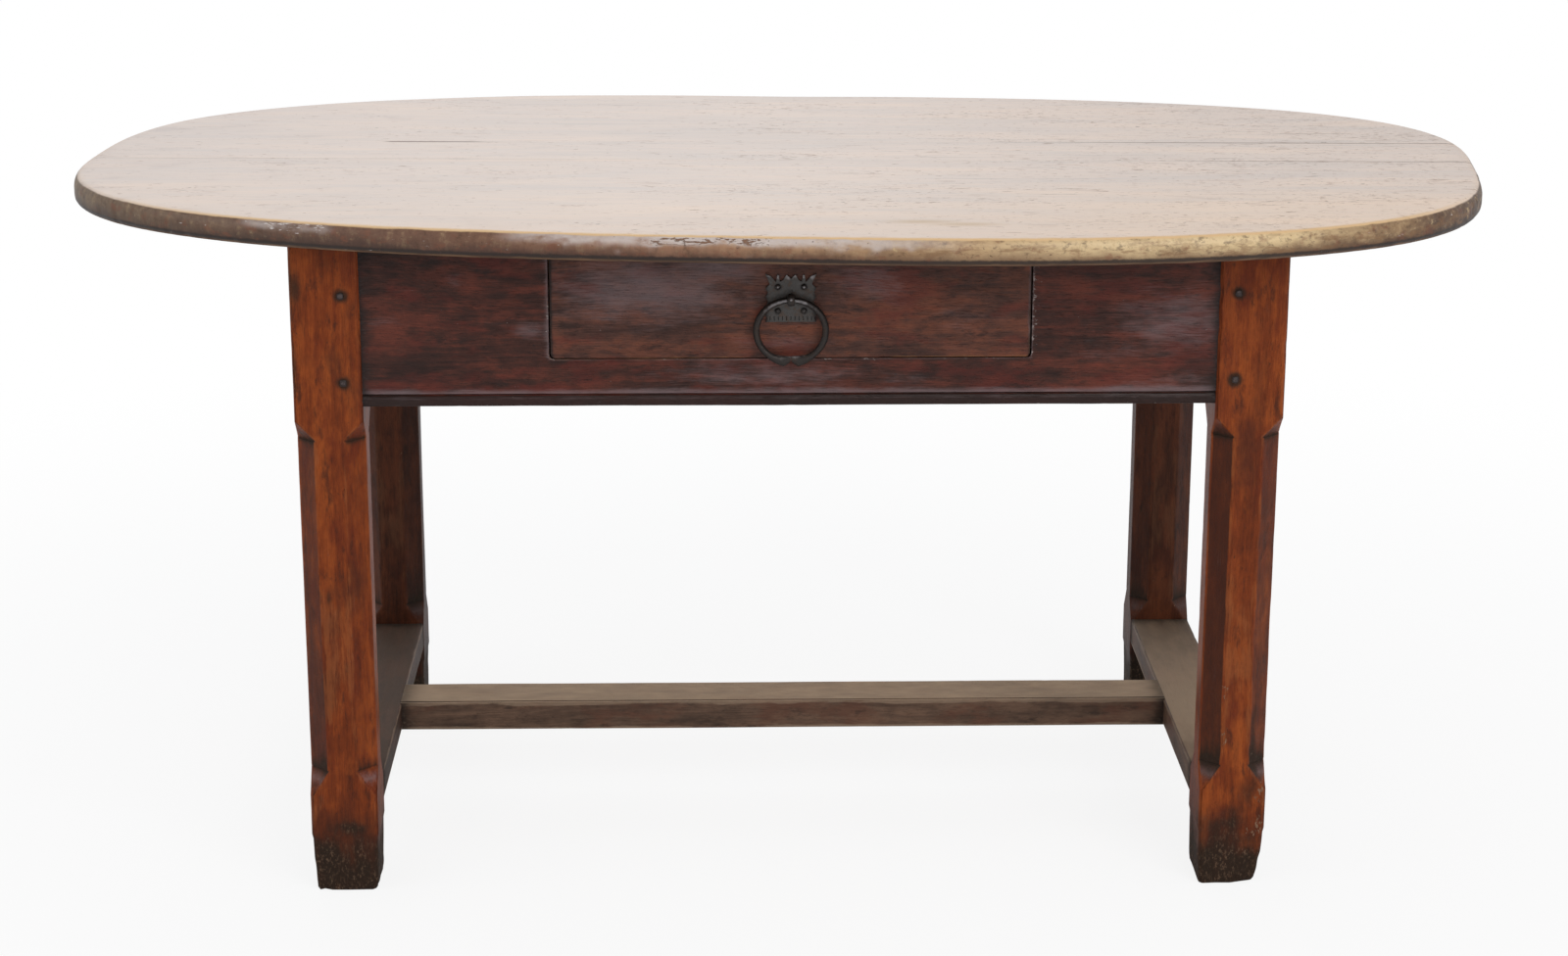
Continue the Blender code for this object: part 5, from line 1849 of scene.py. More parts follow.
@dataclass
class Tabletop:
    """Three boards sawn to one squared oval, with a rolled, handled rim.

    Attributes:
        half_length: Half the length of the oval.
        half_width: Half its width.
        power: How square the oval is.
        askew: Turn of the oval on its boards.
        strays: How far it strays from an even oval, as the part has it: cosine and sine
            shares of one to four waves round it.
        edge_radius: How far the rolled edge reaches in from the rim.
        upper_roll: How far the upper roll reaches down.
        lower_roll: How far the lower one reaches up.
        points: Number of points round the rim.
        joint_gap: Gap between two boards.
        finish: The finish.
    """

    half_length: float = 0.795
    half_width: float = 0.4605
    power: float = 2.82
    askew: float = math.radians(-1.88)
    strays: tuple[tuple[float, float], ...] = (
        (0.0018, 0.0006), (0.0010, 0.0030), (-0.0090, 0.0051), (0.0004, 0.0063),
    )
    edge_radius: float = 0.009
    upper_roll: float = 0.0135
    lower_roll: float = 0.0075
    points: int = 1700
    joint_gap: float = 0.0002
    finish: ScrubbedTop = ScrubbedTop()

    def outline(self) -> tuple[Array, Array]:
        """Points of the oval at even steps, and the direction outward at each.

        Returns:
            Points and outward directions, two numbers each.
        """
        turn = turns(20000)
        c, s = np.cos(turn), np.sin(turn)
        scale = (np.abs(c) ** self.power + np.abs(s) ** self.power) ** (-1 / self.power)
        stray = sum(
            even * np.cos(waves * turn) + odd * np.sin(waves * turn)
            for waves, (even, odd) in enumerate(self.strays, 1)
        )
        scale = scale * (1 + stray)
        fine = stacked(self.half_length * c * scale, self.half_width * s * scale)
        fine = fine @ self._turn(self.askew).T
        lying = fine @ self._turn(TOP_TURN).T
        fine = fine - (lying.min(axis=0) + lying.max(axis=0)) / 2 @ self._turn(TOP_TURN)
        step = np.linalg.norm(np.roll(fine, -1, axis=0) - fine, axis=-1)
        run = np.concatenate([[0], np.cumsum(step)])
        want = np.linspace(0, run[-1], self.points, endpoint=False)
        closed = np.concatenate([fine, fine[:1]])
        even = stacked(*(np.interp(want, run, closed[:, k]) for k in (0, 1)))
        ahead = np.roll(even, -1, axis=0) - np.roll(even, 1, axis=0)
        ahead /= np.linalg.norm(ahead, axis=-1, keepdims=True)
        return even, stacked(ahead[:, 1], -ahead[:, 0])

    @staticmethod
    def _turn(angle: float) -> Array:
        """Matrix that turns points in the plane."""
        c, s = math.cos(angle), math.sin(angle)
        return np.array([[c, -s], [s, c]])

    def profile(self) -> list[tuple[float, float]]:
        """Section of the rim.

        Returns:
            Inset and height of each row, from the upper face to the lower.
        """
        radius = self.edge_radius
        rows = [(radius + gap, TOP_THICKNESS) for gap in (0.022, 0.012, 0.006, 0.0025)]
        for angle in range(0, 91, 10):
            lean = math.radians(angle)
            drop = self.upper_roll * (1 - math.cos(lean))
            rows.append((radius * (1 - math.sin(lean)), TOP_THICKNESS - drop))
        rows.append((0, (TOP_THICKNESS - self.upper_roll + self.lower_roll) / 2))
        for angle in range(90, -1, -18):
            lean = math.radians(angle)
            rows.append((radius * (1 - math.sin(lean)), self.lower_roll * (1 - math.cos(lean))))
        return rows + [(radius + 0.006, 0.0)]

    def rim(self) -> bmesh.types.BMesh:
        """Mesh of the whole oval before it is sawn into boards.

        Returns:
            The mesh, in the top's own frame.
        """
        even, outward = self.outline()
        noise = Relief(401)
        flat = stacked(*even.T, 0.0)
        drift = 0.5 + 0.5 * noise.at(flat, 0.16)
        skin = Skin()
        rows = []
        for inset, height in self.profile():
            there = flat + (0, 0, height)
            nicks = plus(noise.at(there, 0.011) - 0.25) ** 1.5
            dents = plus(noise.at(there + 3, 0.035) - 0.1)
            on_rim = 1 - min(inset / self.edge_radius, 1)
            take = (0.0003 + 0.0016 * drift + 0.0026 * nicks + 0.0016 * dents) * on_rim
            reach = inset + take
            sink = 0.0014 * drift * max(0.0, 1 - abs(inset - self.edge_radius) / 0.008)
            z = height - (sink if height > TOP_THICKNESS / 2 else -0.4 * sink)
            points = stacked(*(even - outward * reach[:, None]).T, z)
            rows.append(skin.add(points, wear=inset))
        skin.tube(rows)
        bm = bmesh.new()
        layer = bm.verts.layers.float.new("inset")
        verts = [bm.verts.new(point) for point in np.concatenate(skin.points)]
        for vert, inset in zip(verts, np.concatenate(skin.marks["wear"])):
            vert[layer] = inset
        for face in skin.faces:
            bm.faces.new([verts[i] for i in face])
        return bm

    def board(
        self, whole: bmesh.types.BMesh, name: str, near: float | None, far: float | None
    ) -> Piece:
        """Saw one board out of the oval.

        Args:
            whole: Mesh of the whole oval.
            name: Name of the piece.
            near: Front limit across the top; none for the front board.
            far: Back limit; none for the back board.

        Returns:
            The board.
        """
        bm = whole.copy()
        for limit, side in ((near, -1), (far, 1)):
            if limit is None:
                continue
            bmesh.ops.bisect_plane(
                bm, geom=[*bm.verts, *bm.edges, *bm.faces], plane_co=(0, limit, 0),
                plane_no=(0, side, 0), clear_outer=True, dist=1e-7,
            )
            rim = [edge for edge in bm.edges if edge.is_boundary]
            bmesh.ops.edgeloop_fill(bm, edges=rim)
            long = [
                edge for edge in bm.edges
                if all(abs(vert.co.y - limit) < 1e-6 for vert in edge.verts)
                and edge.calc_length() > self.half_length / 2
            ]
            bmesh.ops.bevel(bm, geom=long, offset=HAIR, offset_type="OFFSET", segments=2,
                            profile=0.5, affect="EDGES", clamp_overlap=True)
        bm.transform(Matrix.Rotation(TOP_TURN, 4, "Z") @ Matrix.Translation((0, 0, UNDERSIDE)))
        mesh = bpy.data.meshes.new(name)
        bm.to_mesh(mesh)
        bm.free()
        return finish_mesh(mesh, name, 40.0)

    def build(self) -> None:
        """Build and dress the three boards."""
        material = self.finish.material()
        whole = self.rim()
        half = self.joint_gap / 2
        for part, near, far in (
            ("front", None, FRONT_JOINT - half),
            ("middle", FRONT_JOINT + half, BACK_JOINT - half),
            ("back", BACK_JOINT + half, None),
        ):
            piece = self.board(whole, f"top_{part}_board", near, far)
            settle(piece, material, "scrubbed_top", "table", f"top_board_{part}")
        whole.free()


@dataclass
class Leg:
    """A leg with stopped chamfers, worn arrises and a foot eaten away at the floor.

    Attributes:
        name: Name of the piece.
        node: Node that it stands for.
        place: Its axis at the floor.
        seed: Number of the piece.
        eaten: Direction from which its foot is worn most, and how deep, in metres.
        grimy: How dark each chamfer is, 0 to 1, from the front right one to the left.
        knocks: Chips on its front face: place across it, height, half sizes, strength.
        smudges: Dark marks on its front face, in the same way.
        shaft_wear: How far the wax is worn off the faces of its shaft.
        waist: Height at which it is worn most.
        waist_reach: How far up and down that reaches.
        chamfer: Width that the shaft's corners are cut back by.
        block_bottom: Height of the upper block's lower end.
        upper_stop: Length of the stop below it.
        block_top: Height of the lower block's upper end.
        lower_stop: Length of the stop above it.
        taper_height: Height of the foot, which is cut in a little.
        undercut: How much deeper the chamfer is where a stop begins.
        arris: Width of a corner where it isn't chamfered.
    """

    name: str
    node: str
    place: tuple[float, float]
    seed: int
    eaten: Place = (0.0, 0.0, 0.0)
    grimy: tuple[float, float, float, float] = (0.0, 0.0, 0.0, 0.0)
    knocks: tuple[tuple[float, ...], ...] = ()
    smudges: tuple[tuple[float, ...], ...] = ()
    shaft_wear: float = 0.8
    waist: float = 0.26
    waist_reach: float = 0.13
    chamfer: float = 0.0205
    block_bottom: float = 0.540
    upper_stop: float = 0.022
    block_top: float = 0.114
    lower_stop: float = 0.029
    taper_height: float = 0.068
    undercut: float = 0.0016
    arris: float = 0.0018

    def chamfer_at(self, z: Array) -> Array:
        """Width that the corners are cut back by, at each height.

        Args:
            z: The heights.

        Returns:
            The widths.
        """
        low_end = self.block_top + self.lower_stop
        high_end = self.block_bottom - self.upper_stop
        deep = self.chamfer + self.undercut
        places = [0, self.block_top, low_end - 0.001, low_end + 0.0005, high_end - 0.0005,
                  high_end + 0.001, self.block_bottom, 1]
        half = [self.arris, self.arris, deep, self.chamfer]
        return np.interp(z, places, half + half[::-1])

    def inset_at(self, z: Array) -> Array:
        """How far the faces lie inside the leg's width, at each height.

        Args:
            z: The heights.

        Returns:
            The distances.
        """
        shoulder = ease(self.taper_height, self.taper_height - 0.006, z) * 0.0010
        places = [0, 0.003, 0.012, self.taper_height, 1]
        return np.interp(z, places, [0.0030, 0.0016, 0.0010, 0.0, 0.0]) + shoulder

    def stations(self) -> Array:
        """Heights of the sections.

        Returns:
            The heights.
        """
        low_end = self.block_top + self.lower_stop
        high_end = self.block_bottom - self.upper_stop
        fine = []
        for centre in (self.block_top, low_end, high_end, self.block_bottom):
            fine += [centre + gap for gap in (-0.004, -0.0015, -0.0005, 0, 0.0005, 0.0015, 0.004)]
        foot = [0.0006, 0.0015, 0.003, 0.005, *np.arange(0.008, 0.080, 0.003)]
        return lines(0.0, FRAME_TOP, 0.006, *fine, *foot)

    def section(self, z: Array, noise: Relief) -> tuple[Array, ...]:
        """Points round each section.

        Args:
            z: Heights of the sections.
            noise: The leg's own relief.

        Returns:
            Points, wear, scuffs, shade of the grimy chamfers and share of chamfer, in
            rows for each height.
        """
        half = LEG_WIDTH / 2 - self.inset_at(z)
        line = stacked(0.0, 0.0, z)
        corners = []
        for number, (sx, sy) in enumerate(((1, -1), (1, 1), (-1, 1), (-1, -1))):
            dent = plus(noise.at(line + number * 7, 1, 1, 0.02)) ** 2
            slow = 0.5 + 0.5 * noise.at(line + number * 11, 1, 1, 0.15)
            cut = self.chamfer_at(z) + slow * 0.0012 + dent * 0.0016
            pair = [stacked(sx * half, sy * (half - cut)), stacked(sx * (half - cut), sy * half)]
            corners += pair if sx * sy > 0 else pair[::-1]
        shaft = np.clip((self.chamfer_at(z) - 0.004) / 0.010, 0, 1)
        rows = []
        for k, here in enumerate(corners):
            following = corners[(k + 1) % len(corners)]
            spot = stacked(*here.T, z)
            size = 0.0011 * (1.2 + 0.6 * noise.at(spot + 21, 0.2, 0.2, 0.06))
            size = size + 0.0022 * plus(noise.at(spot + 31, 0.2, 0.2, 0.014) - 0.35)
            ways = [other - here for other in (corners[k - 1], following)]
            rooms = [np.linalg.norm(way, axis=-1) for way in ways]
            reach = np.minimum(size, 0.4 * np.minimum(*rooms))
            a, b = (
                here + way / room[:, None] * reach[:, None] for way, room in zip(ways, rooms)
            )
            for point, wear in ((a, 0.66), ((a + 2 * here + b) / 4, 0.84), (b, 0.66)):
                rows.append((point, wear, 0.30, 0.0, 0.4))
            across = following - b
            narrow = np.clip(1 - np.linalg.norm(across, axis=-1) / 0.012, 0, 1)
            dim, strip = (shaft * self.grimy[k // 2], 1.0) if k % 2 == 0 else (0.0, 0.0)
            for share, mark in (
                (0.06, 0.36), (0.22, 0.04), (0.5, 0.0), (0.78, 0.04), (0.94, 0.36),
            ):
                wear = np.maximum(mark, narrow * 0.8)
                scuffs = np.maximum(mark * 0.5, narrow * 0.3)
                rows.append((b + across * share, wear, scuffs, dim, strip))
        points, *marks = zip(*rows)
        spread = [[np.broadcast_to(value, z.shape) for value in mark] for mark in marks]
        return tuple(np.stack(values, axis=1) for values in (points, *spread))

    def build(self, material: Material) -> None:
        """Build and dress the leg.

        Args:
            material: Its finish.
        """
        noise = Relief(self.seed)
        z = self.stations()
        flat, wear, scuffs, grime, strip = self.section(z, noise)
        heights = np.broadcast_to(z[:, None], flat.shape[:2])
        points = stacked(flat[..., 0], flat[..., 1], heights)
        radial = flat / np.linalg.norm(flat, axis=-1, keepdims=True)
        plane = 0.5 + 0.5 * noise.at(points + 41, 0.03, 0.03, 0.16)
        low = ease(0.085, 0.0, heights)
        pits = plus(noise.at(points + 51, 0.009, 0.009, 0.014) + 0.1) ** 1.4
        chew = plus(noise.at(points + 61, 0.026, 0.026, 0.03))
        take = 0.0005 * plane + low * (0.0016 * pits + 0.0020 * chew)
        toward_x, toward_y, deep = self.eaten
        if deep:
            side = plus(radial[..., 0] * toward_x + radial[..., 1] * toward_y)
            rot = 0.75 + 0.5 * noise.at(points + 71, 0.02, 0.02, 0.02)
            take = take + deep * side**1.5 * ease(0.075, 0.0, heights) ** 1.3 * rot
        flat = flat - radial * take[..., None]
        wave = plus(noise.at(points + 81, 0.014, 0.014, 0.02))
        lift = low**4 * (take * 0.3 + 0.0030 * wave)
        points = stacked(flat[..., 0], flat[..., 1], heights + lift)

        over = heights - self.block_top - self.lower_stop
        under = self.block_bottom - self.upper_stop - heights
        # Dirt above the lower stops, and painted shadow on and below the upper stops.
        stop_low = np.where(over > 0, np.exp(-over / 0.013), np.exp(over / 0.004))
        upper_stop_shadow = np.where(under > 0, np.exp(-under / 0.006), np.exp(under / 0.006))
        soil = grime * 0.55 * np.exp(-plus(over) / 0.09)
        soil = soil + strip * (stop_low * 0.75 + upper_stop_shadow * 0.9)
        cloud = noise.at(points + 91, 0.018, 0.018, 0.03)
        fine = noise.at(points + 97, 0.006, 0.006, 0.009)
        ragged = heights - self.taper_height - 0.020 * cloud - 0.010 * fine
        soil = soil + ease(0.028, -0.040, ragged) * 0.88
        shade = grime + ease(0.066, -0.020, ragged - 0.012 * cloud) * 0.85
        # Painted shade at the top of the leg, under the top.
        soil = soil + ease(FRAME_TOP - 0.012, FRAME_TOP, heights) * 0.6
        ahead = points[..., 1] < -0.030
        soil = soil + bloom(points[..., 0], points[..., 2], *self.smudges) * ahead
        scuffs = scuffs + bloom(points[..., 0], points[..., 2], *self.knocks) * ahead
        scuffs = scuffs + ease(0.045, 0.0, heights) * 0.9
        waist = np.exp(-(((heights - self.waist) / self.waist_reach) ** 2)) * (strip < 0.2)
        wear = wear + waist * self.shaft_wear
        # Painted highlights on the stop facets.
        haze = band(over, -0.010, 0.007) * strip + band(under, -0.019, 0.004) * strip * 0.5
        skin = Skin()
        index = skin.add(points, wear=wear, soil=soil, scuffs=scuffs, haze=haze, shade=shade)
        skin.wrap(index)
        skin.cap(index[-1])
        inner = points[0].copy()
        inner[:, :2] *= 0.72
        inner[:, 2] = 0.0
        sole = skin.add(inner, soil=1.0)
        skin.wrap(np.stack([index[0], sole]))
        skin.cap(sole)
        place = Matrix.Translation((*self.place, 0))
        piece = skin.mesh(self.name, place, plank_lay("ZXY", self.seed))
        settle(piece, material, "red_walnut", "table", self.node)


@dataclass
class Undercarriage:
    """Legs, aprons and stretchers.

    Attributes:
        apron_thickness: Thickness of an apron.
        stretcher_thickness: Thickness of the stretchers.
        middle_width: Width of the long stretcher.
        lap: How far a board runs into the leg that hides its end.
    """

    apron_thickness: float = 0.025
    stretcher_thickness: float = 0.034
    middle_width: float = 0.069
    lap: float = 0.002

    def legs(self) -> None:
        """Build the four legs, the back ones in a darker copy of the finish that paints their
        shade under the table.
        """
        # The back legs take the darker copy, which paints their shade.
        finishes = {"front": RED_WALNUT.material(), "back": SHADE_PAINTED_WALNUT.material()}
        worn = {
            "front_left": ((-0.8, -0.3, 0.0022), (0.12, 0.1, 0.3, 0.58)),
            "front_right": ((0.9, -0.25, 0.0085), (0.62, 0.1, 0.2, 0.86)),
            "back_left": ((-0.4, 0.6, 0.004), (0.45, 0.2, 0.1, 0.1)),
            "back_right": ((0.5, 0.5, 0.003), (0.3, 0.1, 0.2, 0.4)),
        }
        marks = {
            "front_left": (
                ((-0.036, 0.083, 0.0025, 0.003, 2.2), (-0.011, 0.088, 0.002, 0.003, 1.8)),
                ((-0.030, 0.690, 0.012, 0.026, 0.75), (-0.009, 0.344, 0.0016, 0.012, 1.0),
                 (0.004, 0.243, 0.0012, 0.007, 1.1), (-0.022, 0.640, 0.008, 0.02, 0.35),
                 (-0.034, 0.600, 0.006, 0.05, 0.45), (0.004, 0.712, 0.016, 0.010, 0.45),
                 (-0.030, 0.160, 0.010, 0.03, 0.6), (0.006, 0.077, 0.024, 0.008, 0.5)),
            ),
            "front_right": (
                ((-0.014, 0.225, 0.0035, 0.020, 1.3), (-0.012, 0.175, 0.0035, 0.018, 1.4),
                 (0.020, 0.156, 0.004, 0.004, 1.8), (0.015, 0.063, 0.008, 0.006, 2.0),
                 (0.030, 0.110, 0.005, 0.014, 1.7), (0.026, 0.068, 0.009, 0.016, 1.9),
                 (0.004, 0.040, 0.018, 0.012, 1.2)),
                ((0.009, 0.583, 0.004, 0.004, 1.1), (0.003, 0.656, 0.002, 0.003, 1.1),
                 (0.004, 0.668, 0.0016, 0.0016, 1.2), (-0.002, 0.100, 0.012, 0.016, 0.45),
                 (0.020, 0.112, 0.012, 0.026, 0.75), (-0.020, 0.630, 0.010, 0.020, 0.3),
                 (0.000, 0.640, 0.040, 0.080, 0.30), (0.004, 0.160, 0.006, 0.040, 0.55),
                 (0.006, 0.260, 0.004, 0.030, 0.35), (0.014, 0.100, 0.026, 0.034, 0.50),
                 (0.026, 0.200, 0.010, 0.060, 0.42), (-0.026, 0.085, 0.012, 0.022, 0.40)),
            ),
        }
        for number, (corner, (eaten, grimy)) in enumerate(worn.items()):
            x = -LEG_X if corner.endswith("left") else LEG_X
            y = -LEG_Y if corner.startswith("front") else LEG_Y
            leg = Leg(f"{corner}_leg", f"leg_{corner}", (x, y), 101 + number, eaten, grimy,
                      *marks.get(corner, ()))
            leg.build(finishes[corner.split("_")[0]])

    def side_place(self, quarter: int, distance: float) -> Matrix:
        """Frame of an upright board that looks outward, some quarter turns from the front."""
        return Matrix.Rotation(quarter * math.pi / 2, 4, "Z") @ upright(distance, APRON_BOTTOM)

    def flat_place(self, quarter: int, near: float) -> Matrix:
        """Frame of a lying board whose show face looks up.

        Args:
            quarter: Quarter turns from the front, seen from above.
            near: Place of its near edge across the table.

        Returns:
            The frame: X along the board, Y across it and Z down.
        """
        top = STRETCHER_BOTTOM + self.stretcher_thickness
        flat = Matrix(((1, 0, 0, 0), (0, 1, 0, near), (0, 0, -1, top), (0, 0, 0, 1)))
        return Matrix.Rotation(quarter * math.pi / 2, 4, "Z") @ flat

    def aprons(self) -> None:
        """Build the four aprons."""
        material = DARK_WALNUT.material()
        outward = BASE_LENGTH / 2 - 0.003
        height = FRAME_TOP - APRON_BOTTOM
        for quarter, side, distance, inside in (
            (0, "front", APRON_FACE, INSIDE_LENGTH),
            (1, "right", outward, INSIDE_DEPTH),
            (2, "back", APRON_FACE, INSIDE_LENGTH),
            (3, "left", outward, INSIDE_DEPTH),
        ):
            kind = DrawerApron if side == "front" else BeadedApron
            board = kind(
                name=f"{side}_apron_board", length=inside + 2 * self.lap, width=height,
                thickness=self.apron_thickness, place=self.side_place(quarter, distance),
                seed=201 + quarter, arris=0.0009, soiled=0.011,
                step=0.0055 if side == "front" else 0.008,
            )
            settle(board.build(), material, "dark_walnut", "table", f"{side}_apron")

    def stretchers(self) -> None:
        """Build the stretchers, upper faces as show faces, with painted shade on the left one and
        at the right one's back.
        """
        material, dark = GREY_WALNUT.material(), SHADE_PAINTED_SIDE_WALNUT.material()
        for quarter, side in ((1, "right"), (3, "left")):
            # The right stretcher's dusk paints shadow towards its back end, under the top.
            board = Plank(
                name=f"{side}_stretcher_board", length=INSIDE_DEPTH + 2 * self.lap,
                width=LEG_WIDTH, thickness=self.stretcher_thickness,
                place=self.flat_place(quarter, -BASE_LENGTH / 2), seed=301 + quarter,
                arris=0.0022, wavy=0.0008, worn=1.7, knocked=0.1, bruised=0.3,
                rub_reach=0.0017, soiled=0.02, dusk=(0.0, 0.85 if side == "right" else 0.0),
            )
            # The left stretcher takes the darker copy, which paints its shade.
            finish = dark if side == "left" else material
            settle(board.build(), finish, "grey_walnut", "table", f"{side}_stretcher")
        board = ScratchedStretcher(
            name="middle_stretcher_board", length=INSIDE_LENGTH + 2 * self.lap,
            width=self.middle_width, thickness=self.stretcher_thickness,
            place=self.flat_place(0, MIDDLE_OFFSET - self.middle_width / 2), seed=309,
            arris=0.0012, wavy=0.0005, worn=1.9, knocked=0.1, bruised=0.2,
            rub_reach=0.0015, soiled=0.02,
        )
        settle(board.build(), material, "grey_walnut", "table", "middle_stretcher")

    def build(self) -> None:
        """Build and dress everything below the top."""
        self.legs()
        self.aprons()
        self.stretchers()


@dataclass
class Pegs:
    """Square pegs through the joints, driven a little proud.

    Attributes:
        width: Width of a peg.
        proud: How far a peg stands out.
        length: Length of a peg through an apron's tenon.
        setback: Distance of an apron's pegs from its shoulder.
        rises: Heights of an apron's pegs above its lower edge.
        side: Setback, height and length of a side stretcher's pegs.
        middle: Setback and length of the long stretcher's pegs, driven from below.
    """

    width: float = 0.0092
    proud: float = 0.0010
    length: float = 0.045
    setback: float = 0.020
    rises: tuple[float, float] = (0.0275, 0.1220)
    side: tuple[float, float, float] = (0.020, 0.100, 0.060)
    middle: tuple[float, float] = (0.015, 0.026)

    def one(self, skin: Skin, frame: Matrix, length: float, seed: int) -> None:
        """Add one peg to a skin.

        Args:
            skin: The skin.
            frame: Frame of the peg, its Z outward and its head at 0.
            length: Its length.
            seed: Number of the peg.
        """
        rng = np.random.default_rng(seed)
        around = turns(28) + math.radians(rng.uniform(-6, 6))
        c, s = np.cos(around), np.sin(around)
        power = rng.uniform(2.6, 4.2)
        scale = (np.abs(c) ** power + np.abs(s) ** power) ** (-1 / power)
        for waves in (1, 2, 3, 5):
            dent, phase = rng.uniform(0.0, 0.035), rng.uniform(0, 6)
            scale = scale * (1 - dent * (1 + np.cos(waves * around + phase)))
        scale = scale * self.width / 2 / scale.max()
        rows = []
        # The wear mark paints a highlight at the middle of the head.
        for share, drop, wear in (
            (0.20, 0.0, 1.0), (0.52, 0.00004, 0.85), (0.74, 0.00020, 0.45), (0.90, 0.0006, 0.1),
            (0.98, 0.0012, 0.0), (1.0, 0.0020, 0.0), (0.99, length, 0.0),
        ):
            tilt = np.abs(scale * c * rng.uniform(-0.02, 0.02))
            points = stacked(scale * c * share, scale * s * share, -tilt - drop)
            rows.append(skin.add(moved(points, frame), wear=wear))
        skin.tube(rows)

    def build(self) -> None:
        """Build and dress the pegs, one piece for each leg and for the long stretcher."""
        material = PegEnd().material()
        outward = Matrix.Rotation(math.pi / 2, 4, "X")
        sides = {
            "front": (0, -BASE_DEPTH / 2, INSIDE_LENGTH / 2, ("left", "right")),
            "right": (1, -BASE_LENGTH / 2, INSIDE_DEPTH / 2, ("front", "back")),
            "back": (2, -BASE_DEPTH / 2, INSIDE_LENGTH / 2, ("right", "left")),
            "left": (3, -BASE_LENGTH / 2, INSIDE_DEPTH / 2, ("back", "front")),
        }
        skins: dict[str, tuple[Skin, list[str]]] = {}
        seed = 500
        for side, (quarter, face, shoulder, ends) in sides.items():
            carrier = Matrix.Rotation(quarter * math.pi / 2, 4, "Z")
            for sign, end in zip((-1, 1), ends):
                depth, width = (side, end) if side in ("front", "back") else (end, side)
                skin, nodes = skins.setdefault(f"{depth}_{width}", (Skin(), []))
                wanted = [
                    (f"peg_{side}_{end}_{level}", self.setback, APRON_BOTTOM + rise, self.length)
                    for level, rise in zip(("lower", "upper"), self.rises)
                ]
                if side in ("left", "right"):
                    wanted.append((f"peg_{side}_{end}_stretcher", *self.side))
                for node, setback, z, length in wanted:
                    seed += 1
                    place = Matrix.Translation((sign * (shoulder + setback), face - self.proud, z))
                    self.one(skin, carrier @ place @ outward, length, seed)
                    nodes.append(node)
        under = Skin()
        setback, length = self.middle
        for sign in (-1, 1):
            x = sign * (INSIDE_LENGTH / 2 + setback)
            place = Matrix.Translation((x, MIDDLE_OFFSET, STRETCHER_BOTTOM - self.proud))
            self.one(under, place @ Matrix.Rotation(math.pi, 4, "X"), length, 560 + sign)
        skins["under_stretcher"] = (under, ["peg_middle_left", "peg_middle_right"])
        for number, (corner, (skin, nodes)) in enumerate(skins.items()):
            lay = plank_lay("YXZ", number + 40)
            piece = skin.mesh(f"{corner}_pegs", Matrix.Identity(4), lay, 50.0)
            settle(piece, material, "dark_oak_peg", "table", *nodes)


